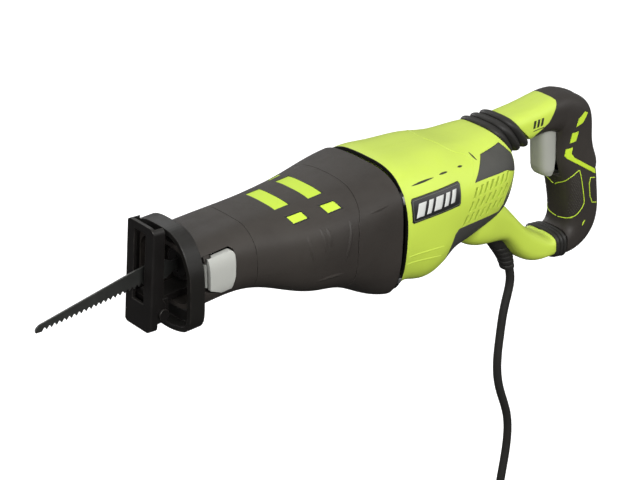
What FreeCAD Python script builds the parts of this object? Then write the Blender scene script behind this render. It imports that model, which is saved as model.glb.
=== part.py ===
import FreeCAD, Part
import os, math

# Corded reciprocating saw with a D-handle. Millimetres, +Z up.
# The origin is where the stroke axis crosses the shoe's front face. -X points to the
# blade tip, +X to the rear handle, Y is across the tool and y = 0 is the split plane.
# The tool's left side is at -Y.

# ---------------------------------------------------------------- shared dimensions
ARM_LENGTH = 45.0        # wobble arm: race centre to ball centre
SWING = 18.53            # wobble arm swing each way, degrees; gives a 28.6 mm stroke
WOBBLE_X = 188.0         # wobble centre along the tool
WOBBLE_Z = -ARM_LENGTH   # wobble shaft axis height
GEAR_MODULE = 0.7
PINION_TEETH = 8
GEAR_TEETH = 56
CENTRE_PLAY = 0.05       # added to the gear centre distance
MOTOR_Z = WOBBLE_Z + GEAR_MODULE * (PINION_TEETH + GEAR_TEETH) / 2.0 + CENTRE_PLAY

PLUNGER_R = 8.0
FRONT_BUSHING = (84.0, 100.0)
REAR_BUSHING = (130.0, 150.0)
BUSHING_R = 11.0
SEAL_END = 104.0
WOBBLE_BEARING_R = 9.5
MOTOR_FRONT_BEARING_R = 11.0
MOTOR_REAR_BEARING_R = 9.5
ARMATURE_R = 4.0

WALL = 3.0               # housing and handle wall
BOOT_THICKNESS = 3.5
SHELL_GAP = 0.3          # fitting gap between nested shells
NOSE_FRONT, NOSE_SEAM, BOOT_END = 24.0, 81.0, 213.0
HOUSING_FRONT = 218.0    # front edge of the housing shell

CLAMP_PIN_X = 62.0       # cross pin through plunger and clamp
BLADE_PIN_X = 42.0       # pin through the blade's hole
LEVER_PIN = (39.5, -30.2)    # x, y of the upright release lever pin
LEVER_BARREL_R = 2.9

GUIDE_R = 4.0            # guide rods of the floating handle
ROD_HIGH_Z, ROD_LOW_Z = 9.0, -114.5
ROD_HIGH_END, ROD_LOW_END = 397.4, 452.4
ISOLATOR_HIGH_R = 8.5
HANDLE_TRAVEL = 2.0      # handle float each way

V = FreeCAD.Vector
ORIGIN, AXIS_X, AXIS_Y, AXIS_Z = V(0, 0, 0), V(1, 0, 0), V(0, 1, 0), V(0, 0, 1)
os.makedirs("parts", exist_ok=True)


# ---------------------------------------------------------------- helpers
def save(name, shape):
    if shape.ShapeType in ("Compound", "CompSolid") and len(shape.Solids) == 1:
        shape = shape.Solids[0]
    shape.exportStep(os.path.join("parts", name + ".step"))


def box(x0, x1, y0, y1, z0, z1):
    return Part.makeBox(x1 - x0, y1 - y0, z1 - z0, V(x0, y0, z0))


def slab(x0, x1, z0=-100):
    """Everything in the body between two X stations, above z0."""
    return box(x0, x1, -80, 80, z0, 80)


def cyl_x(radius, x0, x1, z=0.0, y=0.0):
    return Part.makeCylinder(radius, x1 - x0, V(x0, y, z), AXIS_X)


def cyl_y(radius, y0, y1, x, z):
    return Part.makeCylinder(radius, y1 - y0, V(x, y0, z), AXIS_Y)


def cyl_z(radius, z0, z1, x, y=0.0):
    return Part.makeCylinder(radius, z1 - z0, V(x, y, z0), AXIS_Z)


def tube_x(radius, bore, x0, x1, z=0.0):
    return cyl_x(radius, x0, x1, z).cut(cyl_x(bore, x0 - 1, x1 + 1, z))


def extrude(points, vector):
    return Part.Face(Part.makePolygon(points + points[:1])).extrude(vector)


def prism_xz(outline, y0, y1):
    return extrude([V(x, y0, z) for x, z in outline], V(0, y1 - y0, 0))


def prism_yz(outline, x0, x1):
    return extrude([V(x0, y, z) for y, z in outline], V(x1 - x0, 0, 0))


def prism_xy(outline, z0, z1):
    return extrude([V(x, y, z0) for x, y in outline], V(0, 0, z1 - z0))


def fuse(first, *others):
    union = first.fuse(list(others))
    # Merging coplanar faces can fail; the plain union is kept then.
    try:
        union = union.removeSplitter()
    except Exception:
        pass
    return union


def cut_each(shape, tools):
    for tool in tools:
        shape = shape.cut(tool)
    return shape


def group(solids):
    return Part.makeCompound(solids)


def largest(shape):
    return max(shape.Solids, key=lambda solid: solid.Volume)


def fillet_if_possible(shape, radius, edges):
    # Guards against the kernel refusing the fillet: the sharp shape is kept then.
    try:
        filleted = shape.makeFillet(radius, edges)
        if filleted.isValid():
            return filleted
    except Exception:
        pass
    return shape


def closed_spline(points):
    curve = Part.BSplineCurve()
    curve.interpolate(Points=points, PeriodicFlag=True)
    return Part.Wire(curve.toShape())


def inset(outline, depth):
    """Offset a closed outline inwards by depth, or outwards if it is negative."""
    count = len(outline)
    following = outline[1:] + outline[:1]
    area = sum(p[0] * q[1] - q[0] * p[1] for p, q in zip(outline, following))
    turn = 1.0 if area > 0 else -1.0
    moved = []
    for i in range(count):
        before, here, after = outline[i - 1], outline[i], following[i]
        normals = []
        for p, q in ((before, here), (here, after)):
            du, dv = q[0] - p[0], q[1] - p[1]
            length = math.hypot(du, dv)
            normals.append((-dv / length * turn, du / length * turn))
        (u1, v1), (u2, v2) = normals
        scale = depth / max(0.5, 1 + u1 * u2 + v1 * v2)
        moved.append((here[0] + (u1 + u2) * scale, here[1] + (v1 + v2) * scale))
    return moved


def round_corners(outline, radius):
    """Replace each corner with a quadratic curve of four chords."""
    points = []
    for i, here in enumerate(outline):
        ends = []
        for other in (outline[i - 1], outline[(i + 1) % len(outline)]):
            length = math.hypot(other[0] - here[0], other[1] - here[1])
            reach = min(radius, length * 0.47)
            ends.append([here[n] + (other[n] - here[n]) / length * reach for n in (0, 1)])
        start, end = ends
        for k in range(5):
            t = k / 4.0
            points.append(tuple(
                (1 - t) ** 2 * start[n] + 2 * t * (1 - t) * here[n] + t * t * end[n]
                for n in (0, 1)))
    return points


def loft_stations(stations, depth):
    """Loft mirrored half profiles along X, each inset by depth."""
    wires = []
    for x, half in stations:
        loop = [(-y, z) for y, z in half] + half[1:-1][::-1]
        wires.append(closed_spline([V(x, y, z) for y, z in inset(loop, depth)]))
    return Part.makeLoft(wires, True, False)


def oval_section(outer, inner, half_width, depth=0.0):
    """Superellipse between two (x, z) points, shrunk all round by depth."""
    length = math.hypot(outer[0] - inner[0], outer[1] - inner[1])
    ux, uz = (outer[0] - inner[0]) / length, (outer[1] - inner[1]) / length
    ax, az = outer[0] - ux * depth, outer[1] - uz * depth
    bx, bz = inner[0] + ux * depth, inner[1] + uz * depth
    count, exponent = 16, 2.0 / 3.2
    points = []
    for k in range(count):
        angle = 2 * math.pi * k / count
        c, s = math.cos(angle), math.sin(angle)
        u = math.copysign(abs(c) ** exponent, c)
        v = math.copysign(abs(s) ** exponent, s)
        points.append(V((ax + bx) / 2.0 + (ax - bx) / 2.0 * u,
                        (half_width - depth) * v,
                        (az + bz) / 2.0 + (az - bz) / 2.0 * u))
    return closed_spline(points)


def screw_halves(left, right, body, places, boss_r, boss_setback, seat_depth,
                 head_height, pilot_depth, screw_depth):
    """Add bosses and holes to two halves. Screws enter from +Y at the (x, z) places."""
    screws = []
    for x, z in places:
        ray = Part.makeLine(V(x, 0.5, z), V(x, 120, z))
        surface = max(vertex.Y for vertex in body.common(ray).Vertexes)
        boss_end, seat = surface - boss_setback, surface - seat_depth
        right = fuse(right, cyl_y(boss_r, 0.05, boss_end, x, z).common(body))
        left = fuse(left, cyl_y(boss_r, -boss_end, -0.05, x, z).common(body))
        right = right.cut(cyl_y(3.4, seat, 120, x, z)).cut(cyl_y(1.8, -1, 120, x, z))
        left = left.cut(cyl_y(1.5, -pilot_depth, 1, x, z))
        shank = cyl_y(1.5, -screw_depth, seat + 0.2, x, z)
        head = cyl_y(3.2, seat, seat + head_height, x, z)
        screws.append(fuse(shank, head).cut(cyl_y(1.3, seat + 1.2, surface, x, z)))
    return left, right, screws


# ---------------------------------------------------------------- front body outline
# x, then the half profile from top centre to bottom centre as (|y|, z)
CASE = [
    (20.0, [(0, 24.5), (10, 24.3), (19, 23.4), (27, 19.6), (31.8, 12), (33, 0),
            (32.5, -10), (29, -18.5), (21, -24), (10, -25.8), (0, -26)]),
    (50.0, [(0, 25.2), (10, 25.0), (19.5, 24.0), (28, 19.8), (33.6, 12), (35, -1),
            (34.5, -11), (30.5, -19.5), (22, -25.4), (11, -27.2), (0, -27.6)]),
    (81.0, [(0, 25.8), (10, 25.6), (20, 24.4), (29, 19.2), (35.2, 10.5), (37, -2),
            (36.3, -12), (32, -21), (23, -27.5), (12, -29.6), (0, -30)]),
    (114.0, [(0, 26), (11, 25.7), (20.5, 24.2), (31, 18.8), (39.8, 10), (43, -2),
             (42.3, -17), (37.5, -30), (27, -39), (14, -42.5), (0, -43.5)]),
    (142.0, [(0, 26.5), (11, 26.2), (21, 24.6), (33.5, 19), (44, 9.8), (48, -3),
             (47.3, -22), (42.5, -38), (31, -48.5), (16, -52.5), (0, -53.5)]),
    (168.0, [(0, 27.5), (11.5, 27.2), (22.5, 25.6), (36, 20.5), (47, 11.2), (51.3, -3),
             (51, -24), (46, -42.5), (34, -54), (17, -58.6), (0, -59.8)]),
    (190.0, [(0, 29.8), (12, 29.5), (24, 28.2), (38, 23.5), (49, 13.2), (52.5, -4),
             (52, -28), (47.5, -50), (36, -65), (18, -70.5), (0, -72)]),
    (213.0, [(0, 32), (13, 31.7), (25, 30.6), (39.5, 25.5), (49.8, 14.2), (53, -6),
             (52.5, -32), (48.5, -56), (38, -73.5), (19, -80.3), (0, -82)]),
    (222.0, [(0, 32.4), (13, 32.1), (25, 31), (39.5, 25.7), (49.8, 14), (53, -6),
             (52.5, -33), (48.5, -58), (38.5, -75.5), (19.5, -82), (0, -83.5)]),
]


def case(depth=0.0):
    return loft_stations(CASE, depth)


case_outer = case()
boot_inner = case(BOOT_THICKNESS)

# ---------------------------------------------------------------- nose cover
# (x, z) outlines of the release lever and of the opening around it
LEVER = [(37.4, 16.0), (58.4, 16.6), (60.4, 15.4), (61.2, 13.0),
         (60.2, -4.5), (57.0, -13.4), (47.4, -13.6), (37.2, -8.6)]
LEVER_POCKET = [(33.0, 17.4), (59.4, 18.0), (62.6, 15.5), (61.6, -5),
                (58.0, -15), (47, -15), (33.0, -9.0)]


def nose_cover():
    cover = case_outer.common(slab(NOSE_FRONT, NOSE_SEAM - 0.2, -80)).cut(boot_inner)
    cover = cover.cut(prism_xz(LEVER_POCKET, -60, -20))
    inside = case(1.6)
    x = LEVER_PIN[0]
    block = (x - LEVER_BARREL_R, x + LEVER_BARREL_R, -34.5, -26.5)
    upper = fuse(cyl_z(LEVER_BARREL_R, 11.6, 17.2, *LEVER_PIN), box(*block, 17.0, 20.0))
    lower = box(*block, -18.0, -13.4)
    cover = fuse(cover, upper.common(inside), lower.common(inside))
    return cover.cut(cyl_z(1.52, -16.5, 14.6, *LEVER_PIN))


save("nose_cover", nose_cover())

# ---------------------------------------------------------------- boots and inlays
# (x, z) seam between the two boots; it leans back at the top
BOOT_SEAM = [(168.0, -110.0), (168.0, -8.0), (169.8, 6.0),
             (177.0, 22.0), (186.0, 40.0), (186.0, 70.0)]
BOOT_SEAM_GAP = 0.25     # to each side of the seam
# (x, y) outlines seen from above
TOP_INLAYS = [[(x0, -y), (x1, -y), (x1, y), (x0, y)]
              for x0, x1, y in ((114, 127.5, 17.4), (145, 158.5, 19.6))]
RIGHT_INLAYS = [[(117, 26.9), (131, 27.4), (132.6, 33.6), (119.4, 32.9)],
                [(147.8, 29), (160.6, 30.4), (162.3, 37.6), (150.2, 36.6)]]
LEFT_INLAYS = [[(x, -y) for x, y in outline] for outline in RIGHT_INLAYS]
INLAYS = TOP_INLAYS + LEFT_INLAYS + RIGHT_INLAYS

boot_shell = case_outer.cut(boot_inner)


def boot_front():
    start = NOSE_SEAM + 0.2
    seam = [(x - BOOT_SEAM_GAP, z) for x, z in BOOT_SEAM]
    boot = boot_shell.common(prism_xz([(start, -110)] + seam + [(start, 70)], -80, 80))
    recess = case_outer.cut(case(1.8))
    return cut_each(boot, [recess.common(prism_xy(inset(outline, -1.0), 6, 60))
                           for outline in INLAYS])


def boot_rear():
    seam = [(x + BOOT_SEAM_GAP, z) for x, z in BOOT_SEAM]
    return boot_shell.common(prism_xz(seam + [(BOOT_END, 70), (BOOT_END, -110)], -80, 80))


def nose_inlays():
    skin = case(0.35).cut(case(1.6))
    return group([skin.common(prism_xy(outline, 8, 60)).Solids[0] for outline in INLAYS])


save("boot_front", boot_front())
save("boot_rear", boot_rear())
save("nose_inlays", nose_inlays())

# ---------------------------------------------------------------- gear case and cover
GEAR_CASE_WALL = 4.0
COVER_FRONT, COVER_BACK = 212.2, 217.6
COVER_SCREWS = [(-31, 16), (31, 16), (-37, -45), (37, -45)]                 # y, z
COVER_EARS = [(-46.6, 11.5), (-43.4, -60.5), (46.6, 11.5), (43.4, -60.5)]   # y, z


def gear_case():
    outer = case(BOOT_THICKNESS + SHELL_GAP)
    inner = case(BOOT_THICKNESS + SHELL_GAP + GEAR_CASE_WALL)
    body = outer.common(slab(84.0, 212.0)).cut(inner.common(slab(104.0, 213.0)))
    # web around the rear plunger bushing
    web = cut_each(inner.common(slab(*REAR_BUSHING)), [
        box(120, 160, -80, 80, -100, -15),
        box(120, 160, -80, -22, -30, 80),
        box(120, 160, 22, 80, -30, 80)])
    body = fuse(body, web)
    # web around the front wobble bearing
    body = fuse(body, inner.common(box(163.5, 172.0, -16, 16, -100, -32)))
    return cut_each(body, [
        cyl_x(BUSHING_R, 80, SEAL_END + 0.5),
        cyl_x(BUSHING_R, REAR_BUSHING[0] - 0.5, REAR_BUSHING[1] + 0.5),
        cyl_x(WOBBLE_BEARING_R + 0.02, 165.0, 173.0, WOBBLE_Z),
        Part.makeSphere(17.1, V(WOBBLE_X, 0, WOBBLE_Z), AXIS_X)])


def gear_case_cover():
    """Plate that carries shaft bearings; its rim lies between boot and housing."""
    cover = case(5.2).common(slab(COVER_FRONT, COVER_BACK))
    ear_limit = case(1.6)
    ears = [ear_limit.common(box(213.3, COVER_BACK, y - 3.2, y + 3.2, z - 5.0, z + 5.0))
            for y, z in COVER_EARS]
    cover = fuse(cover, *ears)
    cover = fuse(cover, cyl_x(14.0, COVER_BACK, 223.5, MOTOR_Z),
                 cyl_x(12.5, COVER_BACK, 222.0, WOBBLE_Z))
    cover = cut_each(cover, [
        cyl_x(MOTOR_FRONT_BEARING_R, 216.4, 225, MOTOR_Z),
        cyl_x(6.5, 210, 225, MOTOR_Z),
        cyl_x(WOBBLE_BEARING_R, 213.6, 221.0, WOBBLE_Z),
        cyl_x(7.0, 210, 214, WOBBLE_Z),
        cyl_x(12.0, 205, 213.2, WOBBLE_Z)])
    return cut_each(cover, [cyl_x(2.1, 205, 225, z, y) for y, z in COVER_SCREWS])


def cover_screw(y, z):
    shank = cyl_x(2.0, 214.0, COVER_BACK + 0.1, z, y)
    head = cyl_x(3.8, COVER_BACK + 0.05, 220.2, z, y)
    return fuse(shank, head).cut(cyl_x(1.6, 218.8, 221, z, y))


save("gear_case", gear_case())
save("gear_case_cover", gear_case_cover())
save("gear_case_screws", group([cover_screw(y, z) for y, z in COVER_SCREWS]))

# ---------------------------------------------------------------- plunger
BALL_R = 5.0             # wobble arm ball
BALL_BORE_R = 5.25       # its bore in the plunger yoke
YOKE_X = (177.5, 197.5)
YOKE_HALF = 11.0
PIN_HOLE_R = 2.05


def plunger():
    rod = cyl_x(PLUNGER_R, 50.0, 179.0).cut(cyl_x(5.0, 49, 59.2)).cut(cyl_x(3.0, 66, 120))
    yoke = box(*YOKE_X, -YOKE_HALF, YOKE_HALF, -YOKE_HALF, YOKE_HALF)
    corner = YOKE_HALF - 0.1
    yoke = yoke.makeFillet(2.0, [
        edge for edge in yoke.Edges
        if abs(edge.CenterOfMass.y) > corner and abs(edge.CenterOfMass.z) > corner])
    rod = fuse(rod.cut(box(YOKE_X[0] + 0.1, 200, -20, 20, -20, 20)), yoke)
    return cut_each(rod, [
        cyl_z(BALL_BORE_R, -12, 8.0, WOBBLE_X),
        # flare that clears the swinging arm
        Part.makeCone(8.3, BALL_BORE_R, 7.2, V(WOBBLE_X, 0, -11.4), AXIS_Z),
        cyl_y(PIN_HOLE_R, -20, 20, CLAMP_PIN_X, 0)])


save("plunger_bushings", group([tube_x(BUSHING_R, PLUNGER_R + 0.05, *span)
                                for span in (FRONT_BUSHING, REAR_BUSHING)]))
save("plunger_seal", tube_x(BUSHING_R, PLUNGER_R + 0.06, 101.0, SEAL_END))
save("plunger", plunger())

# ---------------------------------------------------------------- blade clamp
CLAMP_FRONT, CLAMP_BACK = 35.0, 66.0
CLAMP_R = 10.5
CLAMP_PIN_R = 2.0
COLLAR_R = 13.2
FLUTES = 14
SPRING_X = 55.6
SPRING_LENGTH, SPRING_PITCH = 4.9, 1.75
SPRING_R, WIRE_R = 11.9, 0.5


def clamp_body():
    body = fuse(cyl_x(CLAMP_R, CLAMP_FRONT, CLAMP_BACK),
                cyl_x(12.8, CLAMP_BACK - 5.0, CLAMP_BACK))
    return cut_each(body, [
        cyl_x(PLUNGER_R, 50.0, CLAMP_BACK + 1),
        box(CLAMP_FRONT - 1, 51, -0.75, 0.75, -7.0, 7.0),      # blade slot
        cyl_y(2.1, -20, 0, BLADE_PIN_X, 0),
        cyl_y(PIN_HOLE_R, -20, 20, CLAMP_PIN_X, 0)])


def clamp_collar():
    collar = tube_x(COLLAR_R, CLAMP_R + 0.1, 36.2, 55.0)
    collar = collar.cut(cyl_y(2.6, -20, -10, BLADE_PIN_X, 0))
    for k in range(FLUTES):
        angle = 2 * math.pi * k / FLUTES + 0.22
        y, z = 13.6 * math.sin(angle), 13.6 * math.cos(angle)
        collar = collar.cut(cyl_x(1.0, 30, 60, z, y))
    tab = box(44.0, 52.0, -3.0, 3.0, 12.0, 16.5)
    tab.rotate(ORIGIN, AXIS_X, 62)
    return fuse(collar, tab)


def clamp_spring():
    helix = Part.makeHelix(SPRING_PITCH, SPRING_LENGTH, SPRING_R)
    helix.rotate(ORIGIN, AXIS_Y, 90)
    helix.translate(V(SPRING_X, 0, 0))
    edge = helix.Edges[0]
    start, tangent = (edge.valueAt(edge.FirstParameter), edge.tangentAt(edge.FirstParameter))
    profile = Part.Wire(Part.makeCircle(WIRE_R, start, tangent))
    # Guards the helical sweep: a plain sleeve takes its place if it fails.
    try:
        spring = Part.Wire(helix).makePipeShell([profile], True, True)
        if not spring.isValid() or spring.Volume < 1:
            raise ValueError
    except Exception:
        spring = tube_x(12.3, 11.1, SPRING_X, 60.6)
    return spring


save("clamp_body", clamp_body())
save("clamp_pins", group([cyl_y(CLAMP_PIN_R, -10.2, 10.2, CLAMP_PIN_X, 0),
                          cyl_y(CLAMP_PIN_R, -10.3, 0.0, BLADE_PIN_X, 0)]))
save("clamp_collar", clamp_collar())
save("clamp_spring", clamp_spring())

# ---------------------------------------------------------------- blade
BLADE_THICKNESS = 1.27
TOOTH_PITCH = 4.233
GULLET_DEPTH = 2.3
TEETH_START, TEETH_END = (4.0, -6.2), (-88.6, -12.0)     # x, z of the tooth line
# (x, z) runs of the outline below and above the teeth's ends
BLADE_LOWER = [(58.0, -4.6), (30.0, -4.6), (24.0, -7.6), (10.0, -7.2),
               (TEETH_START[0] + 1, TEETH_START[1])]
BLADE_BACK = [(-89.6, -11.4), (-90.0, -9.4), (-89.0, -7.6), (-86.5, -5.9), (-6.0, 7.3),
              (4.0, 8.6), (22.0, 8.6), (29.0, 4.6), (58.0, 4.6)]


def blade():
    (x0, z0), (x1, z1) = TEETH_START, TEETH_END
    length = math.hypot(x1 - x0, z1 - z0)
    ux, uz = (x1 - x0) / length, (z1 - z0) / length

    def point(along, up):
        return (x0 + ux * along + uz * up, z0 + uz * along - ux * up)

    count = int(length / TOOTH_PITCH)
    outline = list(BLADE_LOWER)
    for k in range(count):
        tip = k * TOOTH_PITCH
        outline += [point(tip, 0), point(tip + 1.1, GULLET_DEPTH),
                    point(tip + 2.0, GULLET_DEPTH)]
    outline += [point(count * TOOTH_PITCH, 0)] + BLADE_BACK
    body = prism_xz(outline, -BLADE_THICKNESS / 2, BLADE_THICKNESS / 2)
    return body.cut(cyl_y(2.15, -5, 5, BLADE_PIN_X, 0))


save("blade", blade())


# ---------------------------------------------------------------- release lever
def clamp_lever():
    lever = case(-2.2).cut(case(1.2)).common(prism_xz(LEVER, -60, -22))
    barrel = fuse(cyl_z(LEVER_BARREL_R, -8.0, 10.6, *LEVER_PIN),
                  box(37.6, 42.0, -33.2, -30.4, -8.0, 10.6))
    return cut_each(fuse(lever, barrel), [
        cyl_z(1.56, -20, 30, *LEVER_PIN),
        cyl_z(3.1, 11.2, 20.0, *LEVER_PIN)])     # room for the nose cover's barrel


save("clamp_lever", clamp_lever())
save("lever_pin", cyl_z(1.5, -16.0, 14.4, *LEVER_PIN))

# ---------------------------------------------------------------- nose guard
# (y, z), left half from top to bottom
GUARD_LEFT = [(-12, 38.0), (-23, 34.8), (-31, 26.5), (-36.5, 14), (-38, 6),
              (-36.5, -26), (-34.5, -34), (-29, -40), (-12, -44)]
GUARD = GUARD_LEFT + [(-y, z) for y, z in reversed(GUARD_LEFT)]


def nose_guard():
    guard = prism_yz(round_corners(GUARD, 7.0), 18.5, 31.5)
    return largest(cut_each(guard, [
        prism_yz(round_corners(inset(GUARD, 4.2), 6.0), 17, 28.0),
        prism_yz(round_corners(inset(GUARD, 13.0), 4.0), 17, 40.0),
        case(-0.2).common(slab(23.8, 40, -80))]))


save("nose_guard", nose_guard())

# ---------------------------------------------------------------- shoe
SHOE_HALF = 32.0 / 2.0
SHOE_BOTTOM, SHOE_TOP = -40, 43
SHOE_THICKNESS = 2.6
SHOE_CORNER_R = 5.0
SHOE_TILT = 5.0          # degrees
SHOE_PIN_X, SHOE_PIN_Z, SHOE_PIN_R = 11.0, -26.0, 3.0      # x before the shift
# shift along X that keeps the tilted front face through the origin
SHOE_SHIFT = math.sin(math.radians(SHOE_TILT)) * SHOE_PIN_Z
PIVOT_X = SHOE_PIN_X + SHOE_SHIFT
# (x, z) outline removed behind the flanges
FLANGE_CUT = [(9.0, 50), (20, 50), (20, -50), (6.5, -50), (6.5, -33),
              (14, -32), (14, -19), (10.5, -14), (10.5, 36)]


def pivot_shoe():
    side = SHOE_HALF - 2.4
    shoe = box(0, 13.5, -SHOE_HALF, SHOE_HALF, SHOE_BOTTOM, SHOE_TOP)
    shoe = cut_each(shoe, [
        box(SHOE_THICKNESS, 20, -side, side, -50, 50),
        box(-1, 5, -6.8, 6.8, -19, 37),        # blade window
        prism_xz(FLANGE_CUT, -30, 30)])
    shoe = fillet_if_possible(shoe, 1.6, [
        edge for edge in shoe.Edges
        if abs(edge.CenterOfMass.x) < 0.01
        and abs(abs(edge.CenterOfMass.y) - SHOE_HALF) < 0.01])
    for y_side in (-1, 1):
        for z, z_side in ((SHOE_BOTTOM, -1), (SHOE_TOP, 1)):
            y_centre = y_side * (SHOE_HALF - SHOE_CORNER_R)
            z_centre = z - z_side * SHOE_CORNER_R
            corner = box(-1, 20, *sorted((y_side * SHOE_HALF, y_centre)),
                         *sorted((z, z_centre)))
            shoe = shoe.cut(corner.cut(cyl_x(SHOE_CORNER_R, -2, 21, z_centre, y_centre)))
    shoe = shoe.cut(cyl_y(SHOE_PIN_R + 0.08, -30, 30, SHOE_PIN_X, SHOE_PIN_Z))
    shoe = largest(shoe)
    shoe.rotate(V(SHOE_PIN_X, 0, SHOE_PIN_Z), AXIS_Y, SHOE_TILT)
    shoe.translate(V(SHOE_SHIFT, 0, 0))
    return shoe


def shoe_pin():
    return fuse(cyl_y(SHOE_PIN_R, -16.6, 16.6, PIVOT_X, SHOE_PIN_Z),
                cyl_y(4.4, -18.0, -16.3, PIVOT_X, SHOE_PIN_Z),
                cyl_y(4.4, 16.3, 18.0, PIVOT_X, SHOE_PIN_Z))


def shoe_bracket():
    bracket = fuse(box(PIVOT_X + 3.0, 83.0, -9, 9, -21.2, -16.2),
                   box(PIVOT_X - 4.5, PIVOT_X + 7.5, -12.8, 12.8, -31.0, -16.2))
    bracket = bracket.cut(cyl_y(SHOE_PIN_R, -30, 30, PIVOT_X, SHOE_PIN_Z))
    return fuse(bracket, box(80.6, 83.6, -9, 9, -21.2, -12.0))


save("pivot_shoe", pivot_shoe())
save("shoe_pin", shoe_pin())
save("shoe_bracket", shoe_bracket())

# ---------------------------------------------------------------- wobble drive
RACE_R, RACE_HALF = 12.0, 7.5
WOBBLE_SHAFT_R, JOURNAL_R = 6.0, 5.0
SHAFT_FRONT, SHAFT_BACK = 165.2, 220.8
ARM_HALF = 5.0           # half thickness of the arm along X
STEM_BASE = 14.0         # stem starts this far above the shaft axis


def wobble_race():
    """Barrel with a spherical outside, tilted by the swing angle on a straight bore."""
    end_r = math.sqrt(RACE_R ** 2 - RACE_HALF ** 2)
    left, top, right = V(-RACE_HALF, end_r, 0), V(0, RACE_R, 0), V(RACE_HALF, end_r, 0)
    base_left, base_right = V(-RACE_HALF, 0, 0), V(RACE_HALF, 0, 0)
    outline = Part.Wire([Part.Arc(left, top, right).toShape(),
                         Part.makeLine(right, base_right),
                         Part.makeLine(base_right, base_left),
                         Part.makeLine(base_left, left)])
    race = Part.Face(outline).revolve(ORIGIN, AXIS_X, 360)
    centre = V(WOBBLE_X, 0, WOBBLE_Z)
    race.translate(centre)
    race.rotate(centre, AXIS_Z, SWING)
    return race.cut(cyl_x(WOBBLE_SHAFT_R, WOBBLE_X - 20, WOBBLE_X + 20, WOBBLE_Z))


def wobble_shaft():
    return fuse(cyl_x(JOURNAL_R, SHAFT_FRONT, 175.0, WOBBLE_Z),
                cyl_x(WOBBLE_SHAFT_R, 175.0, 213.4, WOBBLE_Z),
                cyl_x(JOURNAL_R, 213.4, SHAFT_BACK, WOBBLE_Z))


def wobble_arm():
    x0, x1 = WOBBLE_X - ARM_HALF, WOBBLE_X + ARM_HALF
    ring = cyl_x(16.0, x0, x1, WOBBLE_Z)
    ring = ring.cut(Part.makeSphere(RACE_R + 0.06, V(WOBBLE_X, 0, WOBBLE_Z)))
    stem = Part.makeCone(4.4, 3.3, ARM_LENGTH - STEM_BASE,
                         V(WOBBLE_X, 0, WOBBLE_Z + STEM_BASE), AXIS_Z)
    stem = stem.common(box(x0, x1, -10, 10, -100, 100))
    return fuse(ring, stem, Part.makeSphere(BALL_R, V(WOBBLE_X, 0, 0)))


save("wobble_race", wobble_race())
save("wobble_shaft", wobble_shaft())
save("wobble_arm", wobble_arm())
save("wobble_bearings", group([
    tube_x(WOBBLE_BEARING_R, JOURNAL_R + 0.05, x0, x1, WOBBLE_Z)
    for x0, x1 in ((SHAFT_FRONT, 171.2), (213.8, 220.2))]))

# ---------------------------------------------------------------- gears
TOOTH_THINNING = 0.05
GEAR_HOLES = 5
GEAR_HOLE_CIRCLE = 12.5


def gear(teeth, x0, x1, axis_z, phase, root_factor):
    """Straight-flanked gear on an X axis; phase is the first tooth's angle from +Z."""
    pitch_r = GEAR_MODULE * teeth / 2.0
    tip_r, root_r = pitch_r + GEAR_MODULE * 0.95, pitch_r - GEAR_MODULE * 1.3
    half = math.pi / 2 / teeth - TOOTH_THINNING / pitch_r
    flank = [(root_r, half * root_factor), (pitch_r, half), (tip_r, half * 0.42)]
    tooth = [(r, -w) for r, w in flank] + flank[::-1]
    points = []
    for k in range(teeth):
        centre = phase + 2 * math.pi * k / teeth
        points += [(r * math.sin(centre + w), axis_z + r * math.cos(centre + w))
                   for r, w in tooth]
    return prism_yz(points, x0, x1)


def driven_gear():
    # a tooth gap at the top meets the pinion's lowest tooth
    wheel = gear(GEAR_TEETH, 203.0, 210.6, WOBBLE_Z, math.pi / GEAR_TEETH, 1.55)
    wheel = wheel.cut(cyl_x(WOBBLE_SHAFT_R, 202.0, 211.6, WOBBLE_Z))
    for k in range(GEAR_HOLES):
        angle = math.pi / GEAR_HOLES + 2 * math.pi * k / GEAR_HOLES
        y = GEAR_HOLE_CIRCLE * math.cos(angle)
        z = WOBBLE_Z + GEAR_HOLE_CIRCLE * math.sin(angle)
        wheel = wheel.cut(cyl_x(3.0, 200, 215, z, y))
    return wheel


save("driven_gear", driven_gear())

# ---------------------------------------------------------------- motor
PINION_X = (202.2, 211.4)
CORE_X = (238.0, 283.0)
CORE_SLOTS = 12
COMMUTATOR_X = (303.0, 321.0)
COMMUTATOR_R = 13.5
SEGMENTS = 18
FAN_BLADES = 11
FAN_X = (229.2, 231.0)   # fan disc
COIL_HALF = 16.6         # half height of the field coils
BRUSH_X = 312.0


def about_motor(bar, angle):
    """Turn a bar about X, then lift it onto the motor axis."""
    bar.rotate(ORIGIN, AXIS_X, angle)
    bar.translate(V(0, 0, MOTOR_Z))
    return bar


def armature_shaft():
    pinion = gear(PINION_TEETH, *PINION_X, MOTOR_Z, math.pi, 1.25)
    return fuse(pinion, cyl_x(ARMATURE_R, PINION_X[1], 334.0, MOTOR_Z))


def armature_core():
    return cut_each(tube_x(24.0, ARMATURE_R, *CORE_X, MOTOR_Z), [
        about_motor(box(237, 287, -1.3, 1.3, 15.0, 25.0), 360.0 / CORE_SLOTS * k)
        for k in range(CORE_SLOTS)])


def winding(x0, x1, free_end):
    ring = tube_x(20.5, ARMATURE_R, x0, x1, MOTOR_Z)
    rim = [edge for edge in ring.Edges
           if abs(edge.CenterOfMass.x - free_end) < 0.01 and edge.Length > 100]
    return fillet_if_possible(ring, 3.0, rim)


def commutator():
    x0, x1 = COMMUTATOR_X
    return cut_each(tube_x(COMMUTATOR_R, ARMATURE_R, x0, x1, MOTOR_Z), [
        about_motor(box(x0 - 1, x1 + 1, -0.35, 0.35, 12.3, 15), 360.0 / SEGMENTS * k)
        for k in range(SEGMENTS)])


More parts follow.
